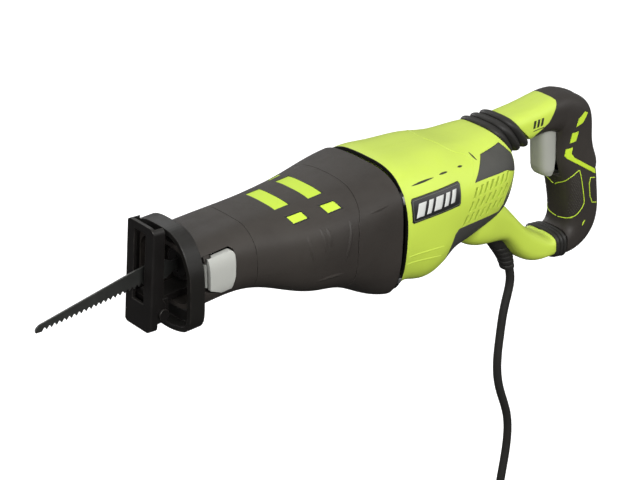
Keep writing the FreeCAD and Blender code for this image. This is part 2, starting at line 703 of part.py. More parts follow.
def cooling_fan():
    fan = fuse(cyl_x(8.0, 225.0, FAN_X[1], MOTOR_Z), cyl_x(37.5, *FAN_X, MOTOR_Z))
    blades = []
    for k in range(FAN_BLADES):
        vane = box(224.6, FAN_X[0] + 0.2, -0.9, 0.9, 10.0, 36.5)
        vane.rotate(V(0, 0, 10), AXIS_X, 18)
        blades.append(about_motor(vane, 360.0 * k / FAN_BLADES))
    return fuse(fan, *blades).cut(cyl_x(ARMATURE_R, 220, 240, MOTOR_Z))


def field_stator():
    room = COIL_HALF + 0.4
    pockets = tube_x(34.5, 27.0, 230, 300, MOTOR_Z).common(
        box(230, 300, -60, 60, MOTOR_Z - room, MOTOR_Z + room))
    return tube_x(40.0, 24.6, 238.5, 282.0, MOTOR_Z).cut(pockets)


def field_coils():
    coils = tube_x(34.2, 27.3, 233.8, 288.0, MOTOR_Z).common(
        box(230, 300, -60, 60, MOTOR_Z - COIL_HALF, MOTOR_Z + COIL_HALF))
    return group(sorted(coils.Solids, key=lambda solid: solid.CenterOfMass.y))


def brush_block(half_x, half_z, side, y0, y1):
    """Block on the brush axis, y0 to y1 from the centre plane on one side."""
    return box(BRUSH_X - half_x, BRUSH_X + half_x, *sorted((side * y0, side * y1)),
               MOTOR_Z - half_z, MOTOR_Z + half_z)


def brush_holder(side):
    return brush_block(5.5, 6.5, side, 15.5, 38.0).cut(
        brush_block(3.1, 4.1, side, 14.0, 35.5))


def carbon_brush(side):
    return brush_block(3.0, 4.0, side, 13.6, 25.5).cut(
        cyl_x(COMMUTATOR_R + 0.08, 300, 325, MOTOR_Z))


def brush_spring(side):
    y0, y1 = sorted((side * 25.5, side * 35.5))
    return cyl_y(3.0, y0, y1, BRUSH_X, MOTOR_Z).cut(
        cyl_y(2.2, y0 - 1, y1 + 1, BRUSH_X, MOTOR_Z))


save("armature_shaft", armature_shaft())
save("armature_core", armature_core())
save("armature_windings", group([winding(231.5, CORE_X[0], 231.5),
                                 winding(CORE_X[1], 294.0, 294.0)]))
save("commutator", commutator())
save("cooling_fan", cooling_fan())
save("motor_bearings", group([
    tube_x(MOTOR_FRONT_BEARING_R, ARMATURE_R + 0.05, 216.6, 223.4, MOTOR_Z),
    tube_x(MOTOR_REAR_BEARING_R, ARMATURE_R + 0.05, 325.5, 332.0, MOTOR_Z)]))
save("field_stator", field_stator())
save("field_coils", field_coils())
for name, build in (("brush_holders", brush_holder), ("carbon_brushes", carbon_brush),
                    ("brush_springs", brush_spring)):
    save(name, group([build(side) for side in (-1, 1)]))

# ---------------------------------------------------------------- housing outline
FRONT_PROFILE = [(0, 32.5), (11, 32.3), (22, 31.2), (35.5, 26), (46.5, 14), (52, -2),
                 (52.5, -28), (49.5, -51), (39.5, -70.5), (20, -77.5), (0, -79)]
# x, then the half profile from top centre to bottom centre as (|y|, z)
HOUSING = [
    (206.0, FRONT_PROFILE),
    (218.0, FRONT_PROFILE),
    (244.0, [(0, 31.6), (11, 31.4), (21, 30.2), (34.5, 24.6), (45.8, 12.6), (51.6, -2),
             (52, -28), (49, -51), (39.3, -70), (20, -77), (0, -78.5)]),
    (266.0, [(0, 30.2), (10, 30), (20, 28.8), (33, 23), (44.8, 11), (50.8, -3),
             (51.2, -28), (48.5, -50), (38.8, -68), (20, -75.5), (0, -77)]),
    (281.0, [(0, 28.8), (10, 28.6), (19, 27.5), (31.6, 21.6), (43, 9.8), (49.2, -4),
             (49.5, -26), (46.5, -44), (38, -59), (19, -66), (0, -67.5)]),
    (298.0, [(0, 25.2), (9.5, 25), (18, 24), (29.5, 18.6), (41, 8), (47, -4),
             (47.3, -25), (44.5, -42), (36.5, -55.5), (18, -63), (0, -64.5)]),
    (316.0, [(0, 22.6), (9, 22.4), (17, 21.4), (28, 16.6), (39, 7), (45, -4),
             (45.4, -24), (42.5, -40), (34.5, -53), (17, -60), (0, -61.5)]),
    (334.0, [(0, 22.2), (8.5, 22), (16, 21), (26.5, 16.2), (37, 6.6), (43, -4),
             (43.4, -22), (40.5, -37), (32.5, -49.5), (16, -56.5), (0, -58)]),
    (346.0, [(0, 21.8), (8, 21.6), (15, 20.6), (24.5, 15.6), (33.8, 6), (39.6, -4),
             (40, -20), (37, -34), (29.5, -46), (15, -52.5), (0, -54)]),
    (358.0, [(0, 21.2), (7, 21), (13, 20), (20, 15), (26.5, 5.6), (31, -4),
             (31.4, -18), (29, -30), (23, -41), (12, -47), (0, -48.5)]),
]
# (x, z) side views that trim the housing and its hollow
HOUSING_SIDE = [(200, 80), (300, 80), (355.5, 4.0), (356.0, -20), (346, -38),
                (322, -60), (303, -72), (292, -80), (284, -90), (200, -90)]
HOLLOW_SIDE = [(200, 80), (295.5, 80), (352.3, 2.6), (352.8, -19.2), (343.5, -36),
               (320, -57), (301, -69), (290, -77), (283, -90), (200, -90)]
# lower arm of the housing: upper (x, z), lower (x, z), half width
LOWER_ARM = [
    ((330, -22), (300, -62), 26.0),
    ((349, -37), (322, -76), 25.0),
    ((366, -53), (350, -86), 23.0),
    ((380, -68), (369, -91), 20.5),
    ((394, -83), (380, -102), 19.5),
    ((408, -94), (396, -118), 19.0),
    ((420, -102), (411, -124.5), 19.0),
    ((430.5, -105), (430.5, -126), 19.0),
]


def housing(depth):
    return loft_stations(HOUSING, depth)


def trimmed_housing(depth, side_view=HOUSING_SIDE):
    return housing(depth).common(prism_xz(side_view, -80, 80))


def lower_arm(depth):
    return Part.makeLoft([oval_section(*row, depth) for row in LOWER_ARM], True, False)


housing_solid = fuse(trimmed_housing(0.0), lower_arm(0.0))

# ---------------------------------------------------------------- housing
# (x, z) outlines of the side panels and name plates
UPPER_PANEL = [(317, 13.4), (343, 14.3), (354.0, 2.5), (354.0, -10.5),
               (338.2, -3.3), (297.9, -0.7)]
LOWER_PANEL = [(333.5, -40.4), (279.2, -34.8), (274.8, -38.0), (270.5, -52.0),
               (268.0, -72.0), (306.0, -80.0), (330.0, -64.0), (347.0, -44.0),
               (354.0, -28.0), (352.0, -21.8), (343.0, -27.0)]
PANELS = (UPPER_PANEL, LOWER_PANEL)
NAME_PLATE = [(225.8, 8.8), (278.2, 6.7), (279.6, 4.9), (277.2, -10.4),
              (275.8, -11.7), (224.6, -10.2), (223.4, -8.6), (224.4, 7.4)]
FLANKS = ((-80, -20), (20, 80))     # y ranges, left and right
# z centre, first x, last x of each row of vent slots
VENT_ROWS = ((-8.9, 297.5, 337.5), (-19.4, 292.0, 336.0), (-30.0, 286.5, 330.5))
VENTS_PER_ROW = 7
HOUSING_SCREWS = [(228.5, 20.5), (228.5, -66.0), (258.0, -69.0),
                  (361.0, -67.0), (411.0, -108.0)]      # x, z


def side_panels():
    skin = housing(-0.2).cut(housing(1.6)).common(prism_xz(HOUSING_SIDE, -80, 80))
    return group([largest(skin.common(prism_xz(outline, *flank)))
                  for flank in FLANKS for outline in PANELS])


def name_plates():
    skin = housing(-0.5).cut(housing(0.9))
    return group([skin.common(prism_xz(NAME_PLATE, *flank)).Solids[0] for flank in FLANKS])


def vent_slots():
    slots = []
    for z, first, last in VENT_ROWS:
        for i in range(VENTS_PER_ROW):
            x = first + (last - first) * i / (VENTS_PER_ROW - 1.0)
            slots.append(prism_xz([(x - 3.75, z - 4.1), (x - 0.75, z - 4.1),
                                   (x + 3.75, z + 4.1), (x + 0.75, z + 4.1)], -80, 80))
    return group(slots)


def housing_shell():
    arm_hollow = lower_arm(WALL).common(box(290, 427.0, -60, 60, -140, 0))
    hollow = fuse(trimmed_housing(WALL, HOLLOW_SIDE), arm_hollow)
    shell = housing_solid.cut(hollow).common(box(HOUSING_FRONT, 500, -100, 100, -200, 100))
    recess = housing(-3.0).cut(housing(1.7))
    for outline in PANELS:
        for flank in FLANKS:
            shell = shell.cut(recess.common(prism_xz(inset(outline, -0.35), *flank)))
    recess = housing(-3.0).cut(housing(1.0))
    for flank in FLANKS:
        shell = shell.cut(recess.common(prism_xz(inset(NAME_PLATE, -0.3), *flank)))
    shell = cut_each(shell, [
        vent_slots(),
        cyl_x(GUIDE_R + 4.6, 336, 362, ROD_HIGH_Z),
        cyl_x(GUIDE_R + 3.5, 420, 440, ROD_LOW_Z),
        # cord outlet
        Part.makeCylinder(5.6, 52.0, V(370.8, 0, -70.5), V(5.0, 0, -15.0))])
    # webs for the rear motor bearing and the upper guide rod's isolator
    inner = trimmed_housing(WALL - 0.4)
    bearing_web = inner.common(box(325.6, 331.8, -80, 80, MOTOR_Z - 12.5, MOTOR_Z + 12.5))
    bearing_web = bearing_web.cut(cyl_x(MOTOR_REAR_BEARING_R, 320, 340, MOTOR_Z))
    rod_web = inner.common(box(339.5, 345.0, -40, 40, -4.0, 30.0))
    rod_web = rod_web.cut(cyl_x(ISOLATOR_HIGH_R, 320, 350, ROD_HIGH_Z))
    return fuse(shell, bearing_web, rod_web)


def fan_baffle():
    baffle = housing(WALL + 0.3).common(slab(233.4, 235.4))
    baffle = baffle.cut(cyl_x(35.0, 230, 240, MOTOR_Z))
    return cut_each(baffle, [cyl_y(5.0, -80, 80, x, z) for x, z in HOUSING_SCREWS[:2]])


shell = housing_shell()
left, right, screws = screw_halves(
    shell.common(box(200, 500, -100, -0.02, -200, 100)),
    shell.common(box(200, 500, 0.02, 100, -200, 100)),
    housing_solid, HOUSING_SCREWS, boss_r=4.6, boss_setback=2.0, seat_depth=9.0,
    head_height=2.4, pilot_depth=14.0, screw_depth=12.0)
save("side_panels", side_panels())
save("name_plates", name_plates())
save("housing_left", left)
save("housing_right", right)
save("housing_screws", group(screws))
save("fan_baffle", fan_baffle())

# ---------------------------------------------------------------- rear handle
# outer (x, z), inner (x, z), half width; from the upper bellows round to the lower one
HANDLE = [
    ((369.5, 22.0), (396.5, -5.0), 17.5),
    ((384.0, 22.8), (405.0, -4.5), 17.5),
    ((404.0, 24.0), (416.0, -4.5), 17.5),
    ((424.0, 26.0), (426.0, -6.5), 18.0),
    ((443.0, 25.2), (430.2, -9.3), 18.5),
    ((460.5, 17.5), (430.4, -15.0), 19.0),
    ((472.5, 4.0), (430.4, -22.5), 19.0),
    ((475.8, -14.0), (431.2, -32.0), 19.0),
    ((479.5, -34.0), (434.6, -44.0), 19.0),
    ((484.0, -54.0), (441.5, -58.0), 18.8),
    ((487.5, -75.0), (447.0, -75.0), 18.8),
    ((489.5, -94.0), (450.0, -90.0), 18.8),
    ((485.5, -112.0), (450.5, -99.0), 18.8),
    ((471.0, -126.0), (449.0, -104.5), 18.5),
    ((446.5, -130.5), (446.5, -106.0), 18.0),
]
HANDLE_RUNS = ((0, 5), (4, 10), (9, 15))    # rows lofted together
HANDLE_SCREWS = [(420, 16.5), (462.0, -62.0), (468.0, -105.0)]      # x, z
# (x, z) outlines
TRIGGER = [(416.4, 2.0), (416.0, -7.5), (416.5, -20.0), (417.6, -34.0), (418.8, -42.5),
           (422.4, -48.0), (428.0, -50.0), (431.0, -49.6), (431.6, -34.0),
           (446.0, -33.0), (446.0, -10.0), (436.0, 2.0)]
TRIGGER_SLOT = [(414.0, 2.8), (413.6, -12.0), (413.6, -53.0), (439.6, -53.0),
                (440.4, -36.0), (455.0, -36.0), (455.0, 2.8)]
OVERMOLD = [(424.0, 60), (424.0, 26.5), (425.0, 24.0), (413.5, 8.2), (399.0, 1.0),
            (396.0, -12.0), (400.0, -160), (560, -160), (560, 60)]
ACCENTS = [
    [(446.6, -4.9), (449.3, 1.7), (457.5, 6.2), (461.4, 4.0), (454.2, -3.5)],
    [(440.6, -18.8), (442.2, -9.9), (450.0, -10.2), (447.1, -18.3)],
    [(437.5, -24.0), (443.9, -23.6), (443.1, -29.2), (446.8, -33.9), (477.0, -54.5),
     (477.5, -59.0), (439.5, -33.4), (436.8, -30.3)],
]
ACCENT_SIDES = ((-60, -6), (6, 60))     # y ranges, left and right
TRIGGER_HALF = 10.5


def handle(depth):
    wires = [oval_section(*row, depth) for row in HANDLE]
    runs = [Part.makeLoft(wires[i:j], True, False) for i, j in HANDLE_RUNS]
    return runs[0].fuse(runs[1:])


def handle_skin(outer_depth, inner_depth):
    return handle(outer_depth).cut(handle(inner_depth))


handle_solid = handle(0.0)
trigger_slot = prism_xz(TRIGGER_SLOT, -TRIGGER_HALF - 0.4, TRIGGER_HALF + 0.4)
overmold_zone = prism_xz(OVERMOLD, -60, 60)


def trigger():
    body = prism_xz(TRIGGER, -TRIGGER_HALF, TRIGGER_HALF)
    front_edges = []
    for edge in body.Edges:
        centre = edge.CenterOfMass
        on_side = abs(abs(centre.y) - TRIGGER_HALF) < 0.01
        if centre.x < 429 and on_side and centre.z < -6.6:
            front_edges.append(edge)
    body = fillet_if_possible(body, 3.2, front_edges)
    return body.cut(box(433.0, 447.0, -5.2, 5.2, -27.0, -15.0))     # spring pocket


def handle_shell():
    wall = handle_solid.cut(handle(WALL).common(box(380, 520, -60, 60, -160, 60)))
    # blocks that hold the guide rods
    shell = fuse(wall, box(391.0, 398.0, -15.6, 15.6, 3.0, 15.0),
                 box(447.4, 453.0, -15.6, 15.6, -124.0, -110.0))
    return cut_each(shell, [
        trigger_slot,
        cyl_x(GUIDE_R, 360, ROD_HIGH_END + 0.1, ROD_HIGH_Z),
        cyl_x(GUIDE_R, 440, ROD_LOW_END + 0.1, ROD_LOW_Z)])


def grip_accents():
    skin = handle_skin(-0.35, 1.3)
    return group([largest(skin.common(prism_xz(outline, *side)))
                  for outline in ACCENTS for side in ACCENT_SIDES])


def grip_overmold():
    """Skin over the grip, open for the trigger, accents and screws."""
    skin = handle_skin(-0.05, 1.5).common(overmold_zone).cut(trigger_slot)
    recess = handle_skin(-2.0, 1.32)
    for outline in ACCENTS:
        for side in ACCENT_SIDES:
            skin = skin.cut(recess.common(prism_xz(inset(outline, -0.25), *side)))
    skin = cut_each(skin, [cyl_y(4.0, 0, 60, x, z) for x, z in HANDLE_SCREWS])
    # small slivers are left out
    return group([solid for solid in skin.Solids if solid.Volume > 50.0])


shell = handle_shell()
left, right, screws = screw_halves(
    shell.common(box(300, 560, -100, -0.02, -200, 100)),
    shell.common(box(300, 560, 0.02, 100, -200, 100)),
    handle_solid, HANDLE_SCREWS, boss_r=4.4, boss_setback=1.5, seat_depth=5.0,
    head_height=2.2, pilot_depth=10.0, screw_depth=9.0)
overmold_recess = handle_skin(-3.0, 1.55).common(overmold_zone)
save("trigger", trigger())
save("handle_screws", group(screws))
save("grip_accents", grip_accents())
save("handle_left", largest(left.cut(overmold_recess)))
save("handle_right", largest(right.cut(overmold_recess)))
save("grip_overmold", grip_overmold())
save("switch_body", box(455.0, 470.0, -10.0, 10.0, -46.0, -14.0))
save("trigger_spring", tube_x(4.4, 3.5, 433.2, 454.8, -21.0))

# ---------------------------------------------------------------- handle suspension
save("guide_rods", group([cyl_x(GUIDE_R, 339.0, ROD_HIGH_END, ROD_HIGH_Z),
                          cyl_x(GUIDE_R, 418.0, ROD_LOW_END, ROD_LOW_Z)]))
save("isolator_bushings", group([
    tube_x(ISOLATOR_HIGH_R, GUIDE_R + 0.08, 340.5, 344.5, ROD_HIGH_Z),
    tube_x(7.4, GUIDE_R + 0.08, 421.0, 429.5, ROD_LOW_Z)]))

BELLOWS_WALL = 2.2


def bellows(front, back, ribs, depth):
    """Pleated sleeve between two (upper point, lower point, half width) sections."""
    steps = 2 * ribs

    def pleats(offset):
        wires = []
        for k in range(steps + 1):
            t = k / float(steps)
            upper, lower = ([p + (q - p) * t for p, q in zip(front[n], back[n])]
                            for n in (0, 1))
            half_width = front[2] + (back[2] - front[2]) * t
            groove = 0.0 if k % 2 else depth
            wires.append(oval_section(upper, lower, half_width, groove + offset))
        return Part.makeLoft(wires, True, True)

    return pleats(0.0).cut(pleats(BELLOWS_WALL))


def upper_bellows():
    sleeve = bellows(((341.5, 24.2), (361.5, -9.0), 25.5),
                     ((367.5, 25.0), (392.5, -9.0), 21.0), ribs=3, depth=3.0)
    handle_forward = handle_solid.copy()
    handle_forward.translate(V(-HANDLE_TRAVEL - 0.3, 0, 0))
    return largest(cut_each(sleeve, [housing_solid, handle_forward, handle_solid]))


def lower_bellows():
    sleeve = bellows(((432.2, -102.5), (432.2, -129.0), 21.0),
                     ((442.9, -103.5), (442.9, -132.5), 20.5), ribs=2, depth=2.4)
    return largest(cut_each(sleeve, [box(400, 431.6, -60, 60, -150, -80),
                                     box(443.6, 470, -60, 60, -150, -80)]))


save("upper_bellows", upper_bellows())
save("lower_bellows", lower_bellows())

# ---------------------------------------------------------------- power cord
CORD_R = 3.9
# (x, z) points along the cord
CORD_PATH = [(374, -80), (379, -95), (386, -112), (391, -126), (394.5, -137), (389, -165),
             (385, -193), (383, -213), (386, -246), (394, -268), (399.5, -285),
             (401, -311), (398, -336), (394, -360)]
# x, z, radius along X, radius along Y
GUARD_STATIONS = ((372.0, -88.0, 13.5, 9.5), (378.0, -101.0, 10.5, 8.0),
                  (385.5, -116.0, 7.4, 6.8), (389.5, -128.0, 6.2, 6.0))
GUARD_POINTS = 12
PLUG_NECK, PLUG_BODY = 12.0, 24.0       # lengths

cord_points = [V(x, 0, z) for x, z in CORD_PATH]
cord_curve = Part.BSplineCurve()
cord_curve.interpolate(Points=cord_points)


def cord_sweep(radius):
    tangent = cord_curve.tangent(cord_curve.FirstParameter)[0]
    profile = Part.Wire(Part.makeCircle(radius, cord_points[0], tangent))
    return Part.Wire(cord_curve.toShape()).makePipeShell([profile], True, False)


def cord_guard():
    angles = [2 * math.pi * i / GUARD_POINTS for i in range(GUARD_POINTS)]
    wires = [closed_spline([V(x + rx * math.cos(a), ry * math.sin(a), z) for a in angles])
             for x, z, rx, ry in GUARD_STATIONS]
    guard = largest(Part.makeLoft(wires, True, False).cut(housing_solid))
    return largest(guard.cut(cord_sweep(CORD_R + 0.15)))


def plug_and_prongs():
    direction = cord_curve.tangent(cord_curve.LastParameter)[0]
    start = cord_points[-1]
    neck = Part.makeCone(5.2, 9.0, PLUG_NECK, start, direction)
    body_start = start + direction * PLUG_NECK
    body = Part.makeCylinder(14.0, PLUG_BODY, body_start, direction).common(
        box(start.x - 30, start.x + 30, -11, 11, start.z - 70, start.z + 10))
    face = body_start + direction * PLUG_BODY
    prongs = []
    for side in (-1, 1):
        x = face.x + side * 6.35
        prongs.append(box(x - 0.75, x + 0.75, -3.15, 3.15, face.z - 17.8, face.z + 4.2))
    return cut_each(fuse(neck, body), prongs), group(prongs)


plug, prongs = plug_and_prongs()
save("power_cord", cord_sweep(CORD_R))
save("cord_guard", cord_guard())
save("cord_plug", plug)
save("plug_prongs", prongs)
save("cord_clamp", box(362.0, 377.5, -12.0, 12.0, -79.6, -76.2).cut(
    cyl_z(4.6, -90, -70, 374.0)))
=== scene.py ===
"""Looks of a hand-held power saw, added to its CAD pieces.

The saw lies along X: the rubber boots are at the front (low X), the handle, trigger and
grip at the rear (high X). Z is up, and the cord and plug hang below the body. The left
half is at -Y. The scene is in metres; shape tables and shape arguments are in millimetres.
"""
import math
import random

import bmesh
import bpy
import numpy as np
from mathutils import Matrix, Vector
from mathutils.bvhtree import BVHTree


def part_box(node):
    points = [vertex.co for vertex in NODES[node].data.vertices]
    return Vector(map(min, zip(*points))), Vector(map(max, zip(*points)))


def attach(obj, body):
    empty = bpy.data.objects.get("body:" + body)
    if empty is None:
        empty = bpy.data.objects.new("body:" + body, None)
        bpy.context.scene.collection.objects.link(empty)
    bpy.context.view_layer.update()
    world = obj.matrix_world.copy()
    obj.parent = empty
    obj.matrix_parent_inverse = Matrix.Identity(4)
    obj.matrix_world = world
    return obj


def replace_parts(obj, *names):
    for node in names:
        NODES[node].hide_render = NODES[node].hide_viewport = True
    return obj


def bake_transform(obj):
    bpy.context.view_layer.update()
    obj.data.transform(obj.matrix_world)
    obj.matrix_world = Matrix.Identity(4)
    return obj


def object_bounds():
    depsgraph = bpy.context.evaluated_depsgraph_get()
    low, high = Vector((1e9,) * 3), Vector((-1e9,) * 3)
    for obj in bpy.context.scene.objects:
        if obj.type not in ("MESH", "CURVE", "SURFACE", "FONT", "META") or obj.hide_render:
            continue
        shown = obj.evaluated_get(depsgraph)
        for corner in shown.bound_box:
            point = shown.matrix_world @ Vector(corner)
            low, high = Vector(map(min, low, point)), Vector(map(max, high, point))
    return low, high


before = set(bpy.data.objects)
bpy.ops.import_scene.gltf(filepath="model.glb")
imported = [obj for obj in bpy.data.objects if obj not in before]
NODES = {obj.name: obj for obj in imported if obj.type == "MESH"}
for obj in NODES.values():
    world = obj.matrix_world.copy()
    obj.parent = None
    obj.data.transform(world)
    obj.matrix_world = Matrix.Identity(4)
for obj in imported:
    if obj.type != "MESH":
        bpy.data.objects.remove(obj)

random.seed(11)
CAD_LO, CAD_HI = [list(v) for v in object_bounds()]
SCENE = bpy.context.scene
MM = 0.001
SIDES = ((-1, "left"), (1, "right"))  # sign of Y, name ending


# ---------------------------------------------------------------- shader helpers
def srgb(r, g, b):
    """Linear RGBA from 0-255 sRGB values."""
    def linear(c):
        c /= 255.0
        return c / 12.92 if c <= 0.04045 else ((c + 0.055) / 1.055) ** 2.4
    return (linear(r), linear(g), linear(b), 1.0)


def scaled(color, factor):
    return tuple(min(1.0, c * factor) for c in color[:3]) + (1.0,)


class Graph:
    """Adds nodes to one shader tree; any input may be a value or another socket."""

    def __init__(self, tree):
        self.tree = tree

    def feed(self, socket, value):
        if isinstance(value, bpy.types.NodeSocket):
            self.tree.links.new(value, socket)
        else:
            socket.default_value = value

    def node(self, kind, inputs=None, **settings):
        node = self.tree.nodes.new("ShaderNode" + kind)
        for key, value in settings.items():
            setattr(node, key, value)
        for key, value in (inputs or {}).items():
            self.feed(node.inputs[key], value)
        return node

    def math(self, operation, a, b, clamp=False):
        node = self.node("Math", {0: a, 1: b}, operation=operation, use_clamp=clamp)
        return node.outputs[0]

    def remap(self, value, span, to=(0.0, 1.0)):
        return self.node("MapRange", {
            "From Min": span[0], "From Max": span[1], "To Min": to[0], "To Max": to[1],
            "Value": value}).outputs["Result"]

    def mix_color(self, factor, a, b):
        return self.node("Mix", {0: factor, 6: a, 7: b}, data_type="RGBA").outputs[2]

    def mix_value(self, factor, a, b):
        return self.node("Mix", {0: factor, 2: a, 3: b}, data_type="FLOAT").outputs[0]

    def noise(self, vector, scale, detail=3.0, roughness=0.55):
        return self.node("TexNoise", {
            "Scale": scale, "Detail": detail, "Roughness": roughness,
            "Vector": vector}).outputs["Fac"]

    def axis(self, vector, name):
        return self.node("SeparateXYZ", {0: vector}).outputs[name]


# Grains made of stretched noise: scale along X, Y and Z.
BRUSHED = {"brushed_x": (60.0, 3200.0, 3200.0), "brushed_z": (3200.0, 3200.0, 60.0)}
# Grains made of wave bands: band direction and wave inputs.
BANDED = {
    "turned": ("X", {"Scale": 900.0, "Distortion": 1.5, "Detail": 2.0}),
    "layers": ("X", {"Scale": 320.0, "Distortion": 0.15}),
    "winding": ("DIAGONAL", {"Scale": 260.0, "Distortion": 1.2, "Detail": 1.0}),
}


def grain_height(graph, place, kind, scale):
    """The finest surface pattern, used for bump, flecks and roughness."""
    if kind in BRUSHED:
        stretched = graph.node("Mapping", {"Scale": BRUSHED[kind], "Vector": place})
        return graph.noise(stretched.outputs["Vector"], scale=1.0, detail=3.0, roughness=0.6)
    if kind in BANDED:
        direction, inputs = BANDED[kind]
        wave = graph.node("TexWave", {**inputs, "Vector": place}, bands_direction=direction)
        return wave.outputs["Fac"]
    if kind == "leather":
        cells = graph.node("TexVoronoi", {"Scale": scale, "Vector": place})
        soft = graph.noise(place, scale=scale * 0.5, detail=2.0)
        return graph.math("ADD", cells.outputs["Distance"], graph.math("MULTIPLY", soft, 0.6))
    if kind == "cast":
        pits = graph.noise(place, scale=scale, detail=5.0, roughness=0.7)
        soft = graph.noise(place, scale=scale * 0.25)
        return graph.math("ADD", pits, graph.math("MULTIPLY", soft, 0.5))
    return graph.noise(place, scale=scale, detail=2.5, roughness=0.6)


def worn_edges(graph, place, face_normal, round_normal, wear):
    """Patchy mask along edges, where the rounded normal leaves the face normal."""
    dot = graph.node("VectorMath", {0: round_normal, 1: face_normal}, operation="DOT_PRODUCT")
    edge = graph.remap(dot.outputs["Value"], span=(0.985, 0.72))
    patches = graph.noise(place, scale=170.0, detail=5.0, roughness=0.7)
    patch = graph.remap(patches, span=(0.42, 0.62), to=(0.15, 1.0))
    return graph.math("MULTIPLY", graph.math("MULTIPLY", edge, patch), wear, clamp=True)


def make_material(
        name, color, rough, metallic=0.0, specular=0.5, coat=0.0,
        mottle=0.06, mottle_scale=14.0, light=None,  # broad colour change; its lighter colour
        grain=0.3, grain_scale=2400.0, grain_depth=0.00012, kind="fine",  # fine bump
        fleck=0.05, rough_range=0.07, waviness=0.05,
        bevel=0.0006, wear=0.3, worn=None, worn_rough=0.4, worn_metal=None,  # edges
        dust=0.04,  # pale dust on faces that look up
        painted_shade_x=None,  # X below which the part is painted near-black: painted shade of the joint gap behind the boot
        core=None):  # X above and Z below which the part is a dark base moulding
    material = bpy.data.materials.new(name)
    material.use_nodes = True
    material.node_tree.nodes.clear()
    graph = Graph(material.node_tree)
    base = srgb(*color)

    place = graph.node("TexCoord").outputs["Object"]
    face_normal = graph.node("NewGeometry").outputs["Normal"]
    round_normal = graph.node("Bevel", {"Radius": bevel}, samples=4).outputs["Normal"]
    broad = graph.noise(place, scale=mottle_scale, detail=4.0)
    middle = graph.noise(place, scale=95.0, detail=4.0)
    fine = grain_height(graph, place, kind, grain_scale)
    mask = worn_edges(graph, place, face_normal, round_normal, wear)

    # colour: mottle, flecks, dust, worn edges, then the dark zones: painted shade at the front
    # lip, and the dark base moulding
    lighter = srgb(*light) if light else scaled(base, 1.0 + mottle)
    tone = graph.mix_color(graph.remap(broad, span=(0.34, 0.66)),
                           scaled(base, 1.0 - mottle), lighter)
    flecks = graph.mix_color(graph.remap(fine, span=(0.3, 0.7)),
                             scaled(base, 0.55), scaled(base, 1.35))
    tone = graph.mix_color(fleck, tone, flecks)
    upward = graph.remap(graph.axis(face_normal, "Z"), span=(0.25, 1.0))
    dusty = graph.math("MULTIPLY", middle, dust * 2.0)
    dusty = graph.math("MULTIPLY", upward, dusty, clamp=True)
    tone = graph.mix_color(dusty, tone, srgb(196, 192, 182))
    tone = graph.mix_color(mask, tone, srgb(*worn) if worn else scaled(base, 1.5))
    # painted shade: the housing's front rim turns near-black where the joint gap behind the
    # boot lies in shade
    if painted_shade_x is not None:
        in_painted_shade = graph.remap(graph.axis(place, "X"), span=(painted_shade_x - 0.0001, painted_shade_x), to=(1.0, 0.0))
        tone = graph.mix_color(in_painted_shade, tone, srgb(26, 26, 22))
    if core is not None:
        core_x, core_z = core
        corner = graph.node("SeparateXYZ", {0: place}).outputs
        behind = graph.remap(corner["X"], span=(core_x - 0.0001, core_x))
        below = graph.remap(corner["Z"], span=(core_z - 0.0001, core_z), to=(1.0, 0.0))
        in_core = graph.math("MULTIPLY", behind, below)
        tone = graph.mix_color(in_core, tone, srgb(30, 29, 27))

    unevenness = graph.math("ADD", graph.math("MULTIPLY", middle, 0.7),
                            graph.math("MULTIPLY", fine, 0.3))
    roughness = graph.remap(unevenness, span=(0.3, 0.7), to=(
        max(0.05, rough - rough_range), min(1.0, rough + rough_range)))
    if worn_metal is not None:
        metallic = graph.mix_value(mask, metallic, worn_metal)

    waves = graph.node("Bump", {
        "Strength": waviness, "Distance": 0.0008,
        "Height": graph.noise(place, scale=42.0, detail=2.0), "Normal": round_normal})
    bumps = graph.node("Bump", {
        "Strength": grain, "Distance": grain_depth, "Height": fine,
        "Normal": waves.outputs["Normal"]})
    surface = graph.node("BsdfPrincipled", {
        "Base Color": tone, "Roughness": graph.mix_value(mask, roughness, worn_rough),
        "Normal": bumps.outputs["Normal"], "Metallic": metallic,
        "Specular IOR Level": specular, "Coat Weight": coat, "Coat Roughness": 0.25})
    graph.node("OutputMaterial", {0: surface.outputs[0]})
    material.diffuse_color = base
    return material


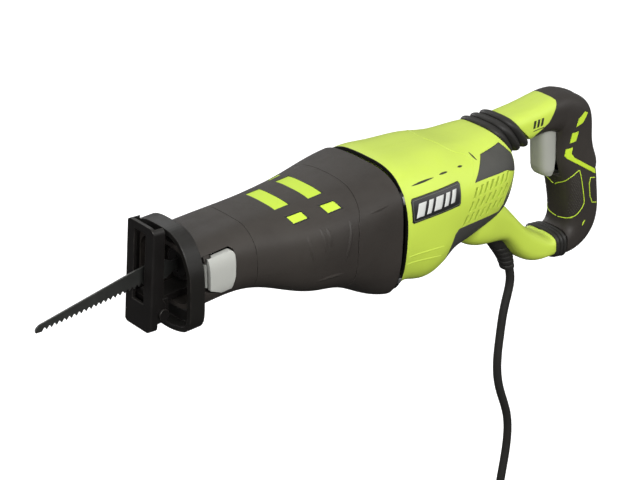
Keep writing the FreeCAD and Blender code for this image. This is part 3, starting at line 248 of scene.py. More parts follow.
# ---------------------------------------------------------------- materials
# Colours are sRGB 0-255; the other names are the arguments of make_material.
LIME = dict(color=(199, 222, 82), rough=0.42, mottle=0.035, mottle_scale=9.0, grain=0.22,
            grain_scale=2600.0, wear=0.35, worn=(226, 242, 120), worn_rough=0.3, specular=0.4,
            dust=0.05)
FINISHES = {
    "lime_plastic": LIME,
    "lime_accent": dict(
        color=(196, 226, 58), rough=0.5, mottle=0.05, grain=0.35, grain_scale=2200.0, wear=0.4,
        worn=(222, 240, 110), specular=0.35, bevel=0.0003),
    "charcoal_rubber": dict(
        color=(50, 46, 43), rough=0.46, mottle=0.12, mottle_scale=11.0, light=(57, 53, 49),
        grain=0.36, grain_scale=1500.0, kind="leather", grain_depth=0.00016, wear=0.45,
        worn=(112, 107, 101), specular=0.30, dust=0.015, fleck=0.08, waviness=0.16,
        rough_range=0.09),
    "black_plastic": dict(
        color=(26, 25, 23), rough=0.36, mottle=0.08, grain_scale=1900.0, wear=0.6,
        worn=(84, 80, 76), worn_rough=0.28, specular=0.38, dust=0.01, bevel=0.0014),
    "panel_plastic": dict(
        color=(64, 64, 60), rough=0.50, grain=0.5, grain_scale=1700.0, kind="leather", wear=0.4,
        worn=(120, 120, 112), specular=0.4, dust=0.05),
    "plate_plastic": dict(
        color=(26, 26, 26), rough=0.34, grain=0.15, grain_scale=2600.0, wear=0.4,
        worn=(104, 104, 100), coat=0.2, dust=0.03),
    "black_steel": dict(
        color=(28, 26, 25), rough=0.36, metallic=0.35, mottle=0.12, mottle_scale=28.0,
        grain=0.35, grain_scale=2100.0, kind="cast", wear=0.6, worn=(138, 134, 128),
        worn_rough=0.3, worn_metal=0.9, bevel=0.0009, dust=0.02),
    "steel": dict(
        color=(176, 176, 174), rough=0.30, metallic=0.95, kind="turned", grain_depth=0.00003,
        wear=0.5, worn=(222, 222, 220), worn_rough=0.2, bevel=0.0003, dust=0.02),
    "aluminium_cast": dict(
        color=(158, 160, 160), rough=0.48, metallic=0.85, mottle=0.07, grain=0.6,
        grain_scale=900.0, kind="cast", grain_depth=0.0002, wear=0.5, worn=(215, 216, 216),
        worn_rough=0.28, dust=0.03),
    "bronze": dict(
        color=(168, 128, 74), rough=0.36, metallic=0.9, mottle=0.1, grain=0.4,
        grain_scale=1600.0, kind="cast", wear=0.5, worn=(212, 176, 118), bevel=0.0003,
        dust=0.02),
    "black_rubber": dict(
        color=(40, 39, 37), rough=0.46, mottle=0.10, grain=0.4, grain_scale=1300.0,
        kind="leather", wear=0.35, worn=(80, 78, 74), worn_rough=0.42, specular=0.32,
        dust=0.01, bevel=0.0004),
    "blade_steel": dict(
        color=(58, 59, 57), rough=0.38, metallic=0.45, mottle=0.14, mottle_scale=60.0,
        grain=0.45, kind="brushed_x", grain_depth=0.00003, wear=0.9, worn=(168, 168, 164),
        worn_rough=0.28, worn_metal=1.0, bevel=0.00035, dust=0.02, fleck=0.14),
    "grey_plastic": dict(
        color=(172, 173, 167), rough=0.36, mottle=0.05, grain_scale=1900.0, wear=0.5,
        worn=(224, 225, 221), dust=0.03, bevel=0.0008),
    "trigger_plastic": dict(
        color=(168, 169, 160), rough=0.45, mottle=0.05, grain_scale=1900.0, wear=0.4,
        worn=(198, 199, 194), specular=0.45, dust=0.03, bevel=0.0012),
    "lamination": dict(
        color=(118, 116, 112), rough=0.42, metallic=0.85, mottle=0.08, grain=0.9,
        kind="layers", grain_depth=0.0003, wear=0.4, worn=(170, 168, 164), fleck=0.25,
        dust=0.02),
    "copper": dict(
        color=(186, 98, 52), rough=0.30, metallic=0.85, mottle=0.12, grain=1.0,
        kind="winding", grain_depth=0.0005, worn=(226, 150, 100), coat=0.4, fleck=0.3,
        dust=0.0),
    "carbon": dict(
        color=(46, 46, 48), rough=0.5, metallic=0.2, mottle=0.15, grain=0.6,
        grain_scale=1800.0, kind="cast", worn=(84, 84, 88), dust=0.0),
    "brass": dict(
        color=(196, 164, 84), rough=0.32, metallic=0.95, mottle=0.08, grain=0.4,
        kind="brushed_z", grain_depth=0.00003, wear=0.5, worn=(226, 202, 140), bevel=0.0003,
        dust=0.02),
    # the housing's front rim carries painted shade for the joint gap behind the boot
    "housing_lime": dict(LIME, painted_shade_x=0.2186),
    "handle_lime": dict(LIME, core=(0.4225, -0.006)),
    # near-black cast metal: painted shade for the gear case where it is seen deep in the joint
    # gap
    "shade_dark_cast": dict(
        color=(24, 23, 22), rough=0.5, metallic=0.2, mottle=0.1, grain=0.6, grain_scale=900.0,
        kind="cast", grain_depth=0.0002, wear=0.4, worn=(80, 78, 76), dust=0.0),
    "light_print": dict(
        color=(206, 208, 204), rough=0.38, mottle=0.04, grain=0.2, wear=0.4,
        worn=(160, 160, 156), dust=0.02, bevel=0.0002),
    "frame_print": dict(
        color=(92, 96, 84), rough=0.4, mottle=0.05, grain=0.2, dust=0.0, bevel=0.0002),
    # the lime's colour in deep shade: painted shade for the slits, notch, bars and underline
    "groove_shade": dict(
        color=(40, 44, 26), rough=0.55, mottle=0.08, grain_scale=2200.0,
        worn=(92, 98, 52), dust=0.02, bevel=0.0002),
    "grip_rubber": dict(
        color=(60, 58, 52), rough=0.58, mottle=0.08, grain=0.6, grain_scale=1800.0,
        kind="leather", wear=0.4, worn=(108, 103, 98), specular=0.3, dust=0.06, bevel=0.0002),
}
MATERIALS = {name: make_material(name, **finish) for name, finish in FINISHES.items()}

# CAD pieces whose material is not the one named by their own slot.
PIECE_MATERIALS = {
    "handle_left": "handle_lime", "handle_right": "handle_lime",
    "housing_left": "housing_lime", "housing_right": "housing_lime",
    # the gear case pieces take painted shade of the joint gap
    "gear_case_cover": "shade_dark_cast", "gear_case": "shade_dark_cast",
    "clamp_body": "black_steel", "shoe_pin": "black_steel", "lever_pin": "black_steel",
}
for piece_name, piece in NODES.items():
    slots = piece.material_slots
    own_material = slots[0].name.split(".")[0] if slots else ""
    chosen = PIECE_MATERIALS.get(piece_name, own_material)
    if chosen in MATERIALS:
        for i in range(len(slots)):
            piece.data.materials[i] = MATERIALS[chosen]

# Looks of the added meshes: body they ride on, material, CAD slot.
BODY_LIME = ("main_body", "lime_plastic", "lime_plastic")
BODY_GROOVE_SHADE = ("main_body", "groove_shade", "lime_plastic")
BODY_RUBBER = ("main_body", "black_rubber", "black_rubber")
BODY_BOOT = ("main_body", "charcoal_rubber", "charcoal_rubber")
BODY_PANEL = ("main_body", "panel_plastic", "panel_plastic")
BODY_PLATE = ("main_body", "plate_plastic", "plate_plastic")
BODY_CAST = ("main_body", "aluminium_cast", "aluminium_cast")
PLATE_FRAME = ("main_body", "frame_print", "plate_plastic")
PLATE_BAR = ("main_body", "light_print", "plate_plastic")
HANDLE_GROOVE_SHADE = ("handle", "groove_shade", "lime_plastic")
GRIP_ACCENT = ("handle", "lime_accent", "lime_accent")
GRIP_PIP = ("handle", "grip_rubber", "charcoal_rubber")
TRIGGER_LOOK = ("trigger", "trigger_plastic", "trigger_plastic")
# These two ride on no body.
BELLOWS_LOOK = (None, "black_rubber", "black_rubber")
COIL_LOOK = (None, "steel", "steel")


# ---------------------------------------------------------------- mesh helpers
def mesh_object(name, verts, faces, look, angle):
    """Smooth object with sharp edges above an angle in degrees; verts in metres."""
    body, material, slot = look
    mesh = bpy.data.meshes.new(name)
    mesh.from_pydata([tuple(v) for v in verts], [], faces)
    mesh.validate()
    mesh.update()
    obj = bpy.data.objects.new(name, mesh)
    SCENE.collection.objects.link(obj)
    mesh.materials.append(MATERIALS[material])
    bm = bmesh.new()
    bm.from_mesh(mesh)
    bmesh.ops.remove_doubles(bm, verts=bm.verts, dist=1e-7)
    bmesh.ops.recalc_face_normals(bm, faces=bm.faces)
    bm.to_mesh(mesh)
    bm.free()
    mesh.polygons.foreach_set("use_smooth", [True] * len(mesh.polygons))
    mesh.set_sharp_from_angle(angle=math.radians(angle))
    if body:
        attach(obj, body)
    return obj


def loft(name, rings, look, caps=True, angle=60):
    """Skin over a list of rings with equal point counts."""
    size = len(rings[0])
    verts = [p for ring in rings for p in ring]
    faces = []
    for i in range(len(rings) - 1):
        here, there = i * size, (i + 1) * size
        for q in range(size):
            r = (q + 1) % size
            faces.append((here + q, here + r, there + r, there + q))
    if caps:
        faces.append(tuple(reversed(range(size))))
        faces.append(tuple(range(len(verts) - size, len(verts))))
    return mesh_object(name, verts, faces, look, angle)


def neighbours(i, count, closed):
    if closed:
        return (i - 1) % count, (i + 1) % count
    return max(0, i - 1), min(count - 1, i + 1)


def sweep(name, points, normals, section_at, look, angle, closed=False):
    """Carries a section (across, outward) along surface points; section_at takes 0 to 1."""
    count = len(points)
    verts = []
    for i, (point, normal) in enumerate(zip(points, normals)):
        before, after = neighbours(i, count, closed)
        along = (points[after] - points[before]).normalized()
        across = along.cross(normal).normalized()
        for u, v in section_at(i / (count - 1.0)):
            verts.append(point + across * (u * MM) + normal * (v * MM))
    size = len(verts) // count
    faces = []
    for i in range(count if closed else count - 1):
        here, there = i * size, (i + 1) % count * size
        for q in range(size):
            r = (q + 1) % size
            faces.append((here + q, there + q, there + r, here + r))
    if not closed:
        faces.append(tuple(range(size)))
        faces.append(tuple(reversed(range(len(verts) - size, len(verts)))))
    mesh_object(name, verts, faces, look, angle)


def surface_of(*names):
    """Search tree over the faces of some CAD pieces."""
    verts, faces = [], []
    for name in names:
        mesh = NODES[name].data
        first = len(verts)
        verts += [v.co.copy() for v in mesh.vertices]
        faces += [tuple(i + first for i in p.vertices) for p in mesh.polygons]
    return BVHTree.FromPolygons(verts, faces)


def on_side(surface, x, z, side):
    """Outer surface point and normal at (x, z), seen along Y, or None."""
    origin = Vector((x * MM, 0.2 * side, z * MM))
    hit, normal, _, _ = surface.ray_cast(origin, Vector((0, -side, 0)))
    if hit is None:
        return None
    return hit, (-normal if normal.y * side < 0 else normal)


def on_top(surface, x, y):
    """Upper surface point and normal at (x, y), seen from above, or None."""
    origin = Vector((x * MM, y * MM, 0.09))
    hit, normal, _, _ = surface.ray_cast(origin, Vector((0, 0, -1)))
    if hit is None:
        return None
    return hit, (normal if normal.z > 0 else -normal)


def resample(points, step, closed=False, smooth=0):
    """Cuts corners `smooth` times, then splits the line into pieces of about `step`."""
    points = [np.array(p, float) for p in points]
    if closed:
        points.append(points[0])
    for _ in range(smooth):
        cut = [] if closed else [points[0]]
        for a, b in zip(points[:-1], points[1:]):
            cut += [a * 0.75 + b * 0.25, a * 0.25 + b * 0.75]
        cut.append(cut[0] if closed else points[-1])
        points = cut
    out = []
    for a, b in zip(points[:-1], points[1:]):
        pieces = max(1, int(round(np.linalg.norm(b - a) / step)))
        out += [a + (b - a) * i / pieces for i in range(pieces)]
    if not closed:
        out.append(points[-1])
    return out


def side_samples(surface, points, side, closed, smooth):
    """Surface points and normals under an XZ line; points that miss are left out."""
    found = [on_side(surface, p[0], p[1], side) for p in resample(points, 1.0, closed, smooth)]
    return [sample for sample in found if sample]


# Ribbon section: share of the width across, share of the height; the feet are sunk.
RIBBON_TOP = [(-0.5, 0.35), (-0.38, 0.8), (-0.2, 1.0), (0.2, 1.0), (0.38, 0.8), (0.5, 0.35)]


def ribbon(name, samples, width, height, sink, look, closed=False, taper=False):
    """Low rounded strip on surface samples, narrowed to both ends if tapered."""
    count = len(samples)
    points = [point for point, _ in samples]
    normals = [normal.normalized() for _, normal in samples]
    for _ in range(2):
        smoothed = []
        for i in range(count):
            before, after = neighbours(i, count, closed)
            total = normals[before] + normals[i] * 2 + normals[after]
            smoothed.append(total.normalized())
        normals = smoothed
    section = [(-0.5, -sink)] + [(u, height * v) for u, v in RIBBON_TOP] + [(0.5, -sink)]

    def section_at(t):
        local = width * max(0.12, math.sin(math.pi * t) ** 0.6) if taper else width
        return [(u * local, v) for u, v in section]

    sweep(name, points, normals, section_at, look, angle=50, closed=closed)


def side_line(name, surface, side, points, width, height, sink, look,
              closed=False, smooth=1, taper=False):
    samples = side_samples(surface, points, side, closed, smooth)
    if len(samples) >= 3:
        ribbon(name, samples, width, height, sink, look, closed, taper)


def nearest_line(name, surface, points, step, is_outward, width, height, sink, look,
                 taper=False):
    """Ribbon along the surface points nearest to an XYZ line."""
    samples = []
    for p in resample(points, step, smooth=2):
        hit, normal, _, _ = surface.find_nearest(Vector(p) * MM)
        samples.append((hit, normal if is_outward(normal, p) else -normal))
    ribbon(name, samples, width, height, sink, look, taper=taper)


def side_patch(name, surface, side, corners, height, sink, look, columns, rows):
    """Closed pad over four XZ corners that follows the surface; its rim is lower."""
    a, b, c, d = [np.array(corner, float) for corner in corners]
    top, bottom = [], []
    us = [0.0, 0.04] + [i / columns for i in range(1, columns)] + [0.96, 1.0]
    vs = [0.0, 0.07] + [i / rows for i in range(1, rows)] + [0.93, 1.0]
    for v in vs:
        for u in us:
            p = (a * (1 - u) + b * u) * (1 - v) + (d * (1 - u) + c * u) * v
            sample = on_side(surface, p[0], p[1], side)
            if sample is None:
                return
            point, normal = sample
            at_rim = u in (0.0, 1.0) or v in (0.0, 1.0)
            top.append(point + normal * (height * (0.35 if at_rim else 1.0) * MM))
            bottom.append(point - normal * (sink * MM))
    wide, high = len(us), len(vs)
    under = wide * high
    faces = []
    for j in range(high - 1):
        for i in range(wide - 1):
            q = j * wide + i
            faces.append((q, q + 1, q + wide + 1, q + wide))
            faces.append((under + q, under + q + wide, under + q + wide + 1, under + q + 1))
    for i in range(wide - 1):
        faces.append((i, under + i, under + i + 1, i + 1))
        q = (high - 1) * wide + i
        faces.append((q, q + 1, under + q + 1, under + q))
    for j in range(high - 1):
        q = j * wide
        faces.append((q, q + wide, under + q + wide, under + q))
        q += wide - 1
        faces.append((q, under + q, under + q + wide, q + wide))
    mesh_object(name, top + bottom, faces, look, angle=50)


def squared_circle(count, power):
    """Unit circle points, pushed towards a square by a power below 1."""
    out = []
    for k in range(count):
        angle = 2 * math.pi * k / count
        c, s = math.cos(angle), math.sin(angle)
        out.append((math.copysign(abs(c) ** power, c), math.copysign(abs(s) ** power, s)))
    return out


def level_ring(x, z, radius_x, radius_y, power):
    return [Vector(((x + radius_x * c) * MM, radius_y * s * MM, z * MM))
            for c, s in squared_circle(48, power)]


def station_at(table, position):
    """Row of a table at a fractional row number."""
    row = min(int(position), len(table) - 2)
    part = position - row
    return [a * (1 - part) + b * part for a, b in zip(table[row], table[row + 1])]


# ---------------------------------------------------------------- bellows
BELLOWS_RIBS = 3
STEPS_PER_RIB = 14
BELLOWS_WALL = 1.8


def bellows_ring(outer_x, outer_z, inner_x, inner_z, half_width, inset):
    """Ring through an outer and an inner point, drawn in by an inset."""
    length = math.hypot(outer_x - inner_x, outer_z - inner_z)
    shift_x = (outer_x - inner_x) / length * inset
    shift_z = (outer_z - inner_z) / length * inset
    ax, az = outer_x - shift_x, outer_z - shift_z
    bx, bz = inner_x + shift_x, inner_z + shift_z
    middle_x, middle_z = (ax + bx) / 2.0, (az + bz) / 2.0
    half_x, half_z = (ax - bx) / 2.0, (az - bz) / 2.0
    return [Vector(((middle_x + half_x * c) * MM, (half_width - inset) * s * MM,
                    (middle_z + half_z * c) * MM))
            for c, s in squared_circle(72, 2.0 / 3.0)]


def bellows(name, piece, first, last, depth):
    """Folded sleeve; first and last: outer x, z, inner x, z, half width."""
    outer, inner = [], []
    steps = BELLOWS_RIBS * STEPS_PER_RIB
    for k in range(steps + 1):
        t = k / float(steps)
        station = [a + (b - a) * t for a, b in zip(first, last)]
        swell = math.sin(math.pi * ((t * BELLOWS_RIBS) % 1.0))
        inset = depth * (1.0 - swell ** 0.7)
        outer.append(bellows_ring(*station, inset))
        inner.append(bellows_ring(*station, inset + BELLOWS_WALL))
    rings = outer + inner[::-1] + [outer[0]]
    obj = loft(name, rings, BELLOWS_LOOK, caps=False, angle=70)
    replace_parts(obj, piece)
    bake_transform(obj)


bellows("upper_bellows_soft", "upper_bellows", first=(341.0, 24.4, 361.5, -8.6, 25.2),
        last=(369.4, 25.6, 395.2, -9.2, 20.8), depth=3.4)
bellows("lower_bellows_soft", "lower_bellows", first=(430.4, -102.6, 430.4, -128.6, 20.8),
        last=(444.4, -104.4, 444.4, -132.0, 20.2), depth=2.6)

# ---------------------------------------------------------------- cord
CORD_RADIUS = 3.9
CORD_FLATTENING = 0.010  # share of the radius
CORD_TWIST = 0.055  # turn of the flattening from ring to ring, radians


def cord_centre_line():
    """Centre line of the CAD cord, from its top down."""
    verts = np.array([v.co[:] for v in NODES["power_cord"].data.vertices]) * 1000.0
    line = []
    for z in np.linspace(verts[:, 2].max() - 3.0, verts[:, 2].min() + 1.2, 74):
        near = verts[np.abs(verts[:, 2] - z) < 2.2]
        if len(near) > 8:
            line.append(np.array([(near[:, 0].min() + near[:, 0].max()) / 2.0, 0.0, z]))
    for _ in range(4):
        inner = [(a + b * 2 + c) / 4.0 for a, b, c in zip(line[:-2], line[1:-1], line[2:])]
        line = [line[0]] + inner + [line[-1]]
    return resample(line, 1.6)


def cord_sleeve(line):
    across = Vector((0, 1, 0))
    rings = []
    for i, point in enumerate(line):
        before, after = neighbours(i, len(line), closed=False)
        along = Vector(line[after] - line[before]).normalized()
        outward = across.cross(along).normalized()
        ring = []
        for k in range(28):
            angle = 2 * math.pi * k / 28
            dent = CORD_FLATTENING * (1 + math.cos(2 * (angle - i * CORD_TWIST)))
            radius = CORD_RADIUS * (1.0 - dent)
            ring.append((Vector(point) + across * (radius * math.sin(angle))
                         + outward * (radius * math.cos(angle))) * MM)
        rings.append(ring)
    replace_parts(loft("cord_sleeve", rings, BODY_RUBBER), "power_cord")


cord_line = cord_centre_line()
cord_sleeve(cord_line)

# Strain relief: a wedge under the housing that narrows in ribs onto the cord.
# Centre x, z, radius along X, radius along Y.
RELIEF_STATIONS = [
    (372.0, -84.0, 13.6, 9.6), (374.6, -93.5, 12.4, 8.9), (378.0, -101.0, 10.5, 8.0),
    (382.0, -109.0, 8.7, 7.3), (385.5, -116.0, 7.5, 6.8), (387.6, -122.0, 6.8, 6.4),
    (389.4, -127.6, 6.2, 6.0)]
RELIEF_STEPS = 60
RELIEF_POWER = 2.0 / 2.4
GROOVES_TOP = -98.0
GROOVE_PITCH = 5.2
GROOVE_DEPTH = 0.75
RIB_SHARE = 0.68  # share of each pitch that is not grooved


def relief_groove(z):
    """Groove depth at a height, fading in over the first 3 mm."""
    below = GROOVES_TOP - z
    phase = (below / GROOVE_PITCH) % 1.0
    if below <= 0 or phase <= RIB_SHARE:
        return 0.0
    shape = math.sin(math.pi * (phase - RIB_SHARE) / (1.0 - RIB_SHARE)) ** 0.7
    return GROOVE_DEPTH * min(1.0, below / 3.0) * shape


def strain_relief():
    rings = []
    for i in range(RELIEF_STEPS + 1):
        position = i / RELIEF_STEPS * (len(RELIEF_STATIONS) - 1)
        x, z, radius_x, radius_y = station_at(RELIEF_STATIONS, position)
        groove = relief_groove(z)
        radius_x -= groove
        radius_y -= groove
        rings.append(level_ring(x, z, radius_x, radius_y, RELIEF_POWER))
    # rounded lower end
    rings.append(level_ring(x, -127.9, radius_x * 0.86, radius_y * 0.86, RELIEF_POWER))
    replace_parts(loft("cord_strain_relief", rings, BODY_RUBBER), "cord_guard")


strain_relief()


def plug(cord_end_x):
    low, high = [v * 1000.0 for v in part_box("cord_plug")]
    centre_x = (low.x + high.x) / 2.0
    half_x = (high.x - low.x) / 2.0 - 0.3
    half_y = (high.y - low.y) / 2.0 - 0.2
    full = (half_x, half_y)
    groove = (half_x - 0.7, half_y - 0.7)
    # Share of the length from the top, radius along X, radius along Y.
    stations = [
        (0.0, 4.4, 4.4), (0.02, 5.3, 5.3), (0.07, 5.5, 5.5), (0.09, 4.9, 4.9),
        (0.13, 4.9, 4.9), (0.15, 6.1, 6.1), (0.20, 6.3, 6.3), (0.22, 5.6, 5.6),
        (0.26, 5.7, 5.7), (0.28, 7.2, 7.2), (0.34, 8.6, 8.2), (0.42, 11.6, 9.8),
        (0.50, half_x * 0.93, half_y * 0.96), (0.58, *full), (0.72, *full),
        (0.735, *groove), (0.75, *full), (0.80, *full), (0.815, *groove), (0.83, *full),
        (0.96, *full), (0.985, half_x - 0.5, half_y - 0.5), (1.0, half_x - 1.6, half_y - 1.6)]
    rings = []
    for share, radius_x, radius_y in stations:
        x = cord_end_x + (centre_x - cord_end_x) * min(1.0, share * 1.8)
        z = high.z + (low.z - high.z) * share
        rings.append(level_ring(x, z, radius_x, radius_y, power=0.72))
    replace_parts(loft("plug_moulding", rings, BODY_RUBBER, angle=40), "cord_plug")


plug(cord_line[-1][0])

# ---------------------------------------------------------------- marks on the shells
HOUSING = surface_of("housing_left", "housing_right")
PLATE = surface_of("name_plates")
GRIP = surface_of("grip_overmold", "grip_accents")
HANDLE = surface_of("handle_left", "handle_right")
BOOT_FRONT = surface_of("boot_front")
BOOT_REAR = surface_of("boot_rear")

# Outlines and lines are (x, z) unless noted.
PLATE_OUTLINE = [(226.6, 7.6), (277.2, 5.6), (278.4, 4.4), (276.2, -9.6),
                 (275.2, -10.6), (225.6, -9.1), (224.6, -8.0), (225.5, 6.6)]
PLATE_BARS = [(229.3, 8.2), (240.6, 4.6), (248.3, 8.2), (259.6, 4.6), (267.3, 4.6)]  # x, width
BAR_SLANT = 2.2
SHOULDER_SLITS = [((229.5, 17.3), (254.9, 16.2)), ((261.6, 16.2), (271.5, 15.4)),
                  ((284.6, 14.6), (290.8, 13.5))]
SHOULDER_NOTCH = [(306.6, 17.6), (308.0, 14.6), (309.6, 11.8)]
LOWER_CREASES = [((221.9, -39.6), (261.1, -43.2)), ((221.3, -46.1), (259.0, -51.4))]
# x, distance from the middle plane, z
SHOULDER_CREASE = [(281.0, 3.0, 29.4), (286.5, 25.3, 23.7), (303.4, 29.0, 17.3),
                   (305.5, 34.8, 13.2), (299.2, 42.2, 5.9), (290.8, 46.0, -1.0)]
PANEL_RIM = [(352.6, -9.0), (352.0, -13.0), (342.0, -23.4), (338.0, -33.0)]
GRIP_LINE_A = [(445.6, -53.6), (452.4, -48.6), (455.8, -48.6), (463.8, -80.0),
               (463.6, -84.5), (457.0, -92.6), (452.8, -95.4)]
GRIP_LINE_B = [(476.6, -62.4), (467.6, -59.2), (472.0, -84.6), (481.5, -88.0)]
GRIP_TICK = [(463.2, -104.6), (464.6, -102.4), (466.2, -100.4)]
ARM_UNDERLINE = [(394.6, 5.6), (401.0, 5.7), (407.5, 5.8)]
# slits are thin dark strips: painted shade of the grooves
SLIT = dict(width=1.8, height=0.10, sink=0.5, look=BODY_GROOVE_SHADE, taper=True)
GRIP_LINE = dict(width=0.85, height=0.35, sink=0.5, look=GRIP_ACCENT)


def mirrored(points, side):
    return [(x, y * side, z) for x, y, z in points]


def plate_marks(side, tag):
    """Frame round the name plate and five slanted bars on it."""
    side_line("plate_frame_" + tag, PLATE, side, PLATE_OUTLINE, width=0.4, height=0.2,
              sink=0.3, look=PLATE_FRAME, closed=True)
    for k, (x, width) in enumerate(PLATE_BARS):
        drop = (x - 229.5) * 0.02
        corners = [(x - BAR_SLANT, -6.6), (x + width - BAR_SLANT, -6.8),
                   (x + width + BAR_SLANT, 3.6 - drop), (x + BAR_SLANT, 3.9 - drop)]
        side_patch("plate_bar_%d_%s" % (k, tag), PLATE, side, corners, height=0.28, sink=0.3,
                   look=PLATE_BAR, columns=3, rows=5)


def housing_marks(side, tag):
    """Slits and notch on the shoulder in painted shade, creases, and the rim that joins the two
    panels.
    """
    for k, (a, b) in enumerate(SHOULDER_SLITS):
        middle = ((a[0] + b[0]) / 2, (a[1] + b[1]) / 2 + 0.1)
        side_line("shoulder_slit_%d_%s" % (k, tag), HOUSING, side, [a, middle, b],
                  smooth=0, **SLIT)
    side_line("shoulder_notch_" + tag, HOUSING, side, SHOULDER_NOTCH, **SLIT)
    for k, (a, b) in enumerate(LOWER_CREASES):
        middle = ((a[0] + b[0]) / 2, (a[1] + b[1]) / 2)
        side_line("lower_crease_%d_%s" % (k, tag), HOUSING, side, [a, middle, b], width=1.9,
                  height=0.32, sink=0.4, look=BODY_LIME, smooth=0, taper=True)

    def is_outward(normal, p):
        return normal.dot(Vector((0, p[1], p[2] + 22.0))) >= 0

    nearest_line("shoulder_crease_" + tag, HOUSING, mirrored(SHOULDER_CREASE, side), 1.2,
                 is_outward, width=1.3, height=0.26, sink=0.4, look=BODY_LIME, taper=True)
    side_line("panel_rim_" + tag, HOUSING, side, PANEL_RIM, width=1.3, height=0.30, sink=0.5,
              look=BODY_PANEL)


def handle_marks(side, tag):
    """Outlines on the grip; three bars and an underline on the upper arm, in painted shade."""
    side_line("grip_line_a_" + tag, GRIP, side, GRIP_LINE_A, **GRIP_LINE)
    side_line("grip_line_b_" + tag, GRIP, side, GRIP_LINE_B, **GRIP_LINE)
    side_line("grip_tick_" + tag, GRIP, side, GRIP_TICK, width=1.6, height=0.35, sink=0.5,
              look=GRIP_ACCENT, smooth=0, taper=True)
    for k in range(3):
        x = 394.5 + k * 4.6
        corners = [(x - 0.6, 7.8), (x + 2.2, 7.8), (x + 3.5, 14.6), (x + 0.7, 14.6)]
        side_patch("arm_bar_%d_%s" % (k, tag), HANDLE, side, corners, height=0.12, sink=0.3,
                   look=HANDLE_GROOVE_SHADE, columns=2, rows=3)
    side_line("arm_underline_" + tag, HANDLE, side, ARM_UNDERLINE, width=0.8, height=0.12,
              sink=0.3, look=HANDLE_GROOVE_SHADE, smooth=0)


for side, tag in SIDES:
    plate_marks(side, tag)
    housing_marks(side, tag)
    handle_marks(side, tag)

# Bare case edge that shows in the joint between boot and housing: lower and upper z.
JOINT = surface_of("housing_left", "housing_right", "gear_case_cover", "boot_rear")
CASE_EDGES = [(7.8, 14.0), (-63.0, -58.4)]
for side, tag in SIDES:
    for k, (low_z, high_z) in enumerate(CASE_EDGES):
        corners = [(215.8, low_z), (218.1, low_z - 0.2), (218.1, high_z - 0.2), (215.8, high_z)]
        side_patch("case_edge_%d_%s" % (k, tag), JOINT, side, corners, height=0.30, sink=0.6,
                   look=BODY_CAST, columns=3, rows=4)

# Outlines that run round the front face of the grip: x, distance from middle plane, z.
GRIP_FRONT_LINES = {
    "c": [(444.1, 1.2, -64.4), (443.0, 4.9, -61.4), (442.8, 12.8, -57.6), (445.0, 16.8, -54.2)],
    "d": [(450.5, 0.9, -98.3), (451.3, 8.0, -97.2), (452.7, 13.2, -95.8), (453.4, 15.6, -95.2)],
}
for side, tag in SIDES:
    def faces_front_or_side(normal, _):
        return (normal.dot(Vector((-1.0, 0.05 * side, 0))) >= 0
                or normal.dot(Vector((0, side, 0))) >= 0)

    for letter, line in GRIP_FRONT_LINES.items():
        nearest_line("grip_line_%s_%s" % (letter, tag), GRIP, mirrored(line, side), 1.0,
                     faces_front_or_side, **GRIP_LINE)

# ---------------------------------------------------------------- trigger and its spring
spring_low, spring_high = [v * 1000.0 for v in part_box("trigger_spring")]


def trigger_piece():
    """Finger piece with a rounded front and a flat back."""
    low, high = [v * 1000.0 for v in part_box("trigger")]
    full_half_width = (high.y - low.y) / 2.0 - 0.6
    front_x = low.x
    back_x = spring_low.x - 0.25
    # z, front x, back x
    stations = [
        (high.z - 0.2, front_x + 0.6, back_x - 0.8), (-3.0, front_x + 0.3, back_x - 0.2),
        (-9.0, front_x + 0.15, back_x), (-16.0, front_x + 0.5, back_x),
        (-24.0, front_x + 1.2, back_x), (-32.0, front_x + 1.9, back_x),
        (-34.0, front_x + 2.1, back_x - 0.1), (-40.0, front_x + 2.6, 432.4),
        (-45.0, front_x + 4.0, 431.8), (-47.6, front_x + 5.8, 431.4),
        (-49.2, front_x + 8.2, 430.9), (low.z + 0.15, front_x + 10.8, 430.3)]
    rings = []
    for i in range((len(stations) - 1) * 4 + 1):
        z, front, back = station_at(stations, i / 4.0)
        half_width = full_half_width - 1.6 * max(0.0, (-44.0 - z) / 6.0)
        round_x, round_y = min(8.0, (back - front) * 0.8), half_width * 0.86
        half = [(back, -half_width), ((back + front + round_x) / 2.0, -half_width)]
        for k in range(13):
            angle = math.pi / 2.0 * k / 12.0
            half.append((front + round_x - round_x * math.sin(angle) ** 0.8,
                         -(half_width - round_y) - round_y * math.cos(angle) ** 0.8))
        outline = half + [(x, -y) for x, y in reversed(half)]
        rings.append([Vector((x * MM, y * MM, z * MM)) for x, y in outline])
    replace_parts(loft("trigger_piece", rings, TRIGGER_LOOK, angle=38), "trigger")


def trigger_coil():
    """Coiled return spring behind the trigger, with a closed turn at each end."""
    turns, wire_radius, steps = 7.0, 0.42, 260
    coil_radius = (spring_high.z - spring_low.z) / 2.0 - wire_radius - 0.05
    z = (spring_high.z + spring_low.z) / 2.0
    travel = spring_high.x - spring_low.x - 2 * wire_radius - 0.2
    rings = []
    for i in range(steps + 1):
        share = i / float(steps)
        angle = 2 * math.pi * (turns + 2.0) * share
        advance = min(1.0, max(0.0, (share - 0.11) / 0.78))
        x = spring_low.x + wire_radius + 0.1 + travel * advance
        outward = Vector((0, math.cos(angle), math.sin(angle)))
        centre = Vector((x, 0, z)) + outward * coil_radius
        ring = []
        for k in range(10):
            turn = 2 * math.pi * k / 10
            spoke = outward * math.cos(turn) + Vector((1, 0, 0)) * math.sin(turn)
            ring.append((centre + spoke * wire_radius) * MM)
        rings.append(ring)
    obj = loft("trigger_coil", rings, COIL_LOOK)
    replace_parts(obj, "trigger_spring")
    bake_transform(obj)


trigger_piece()
trigger_coil()

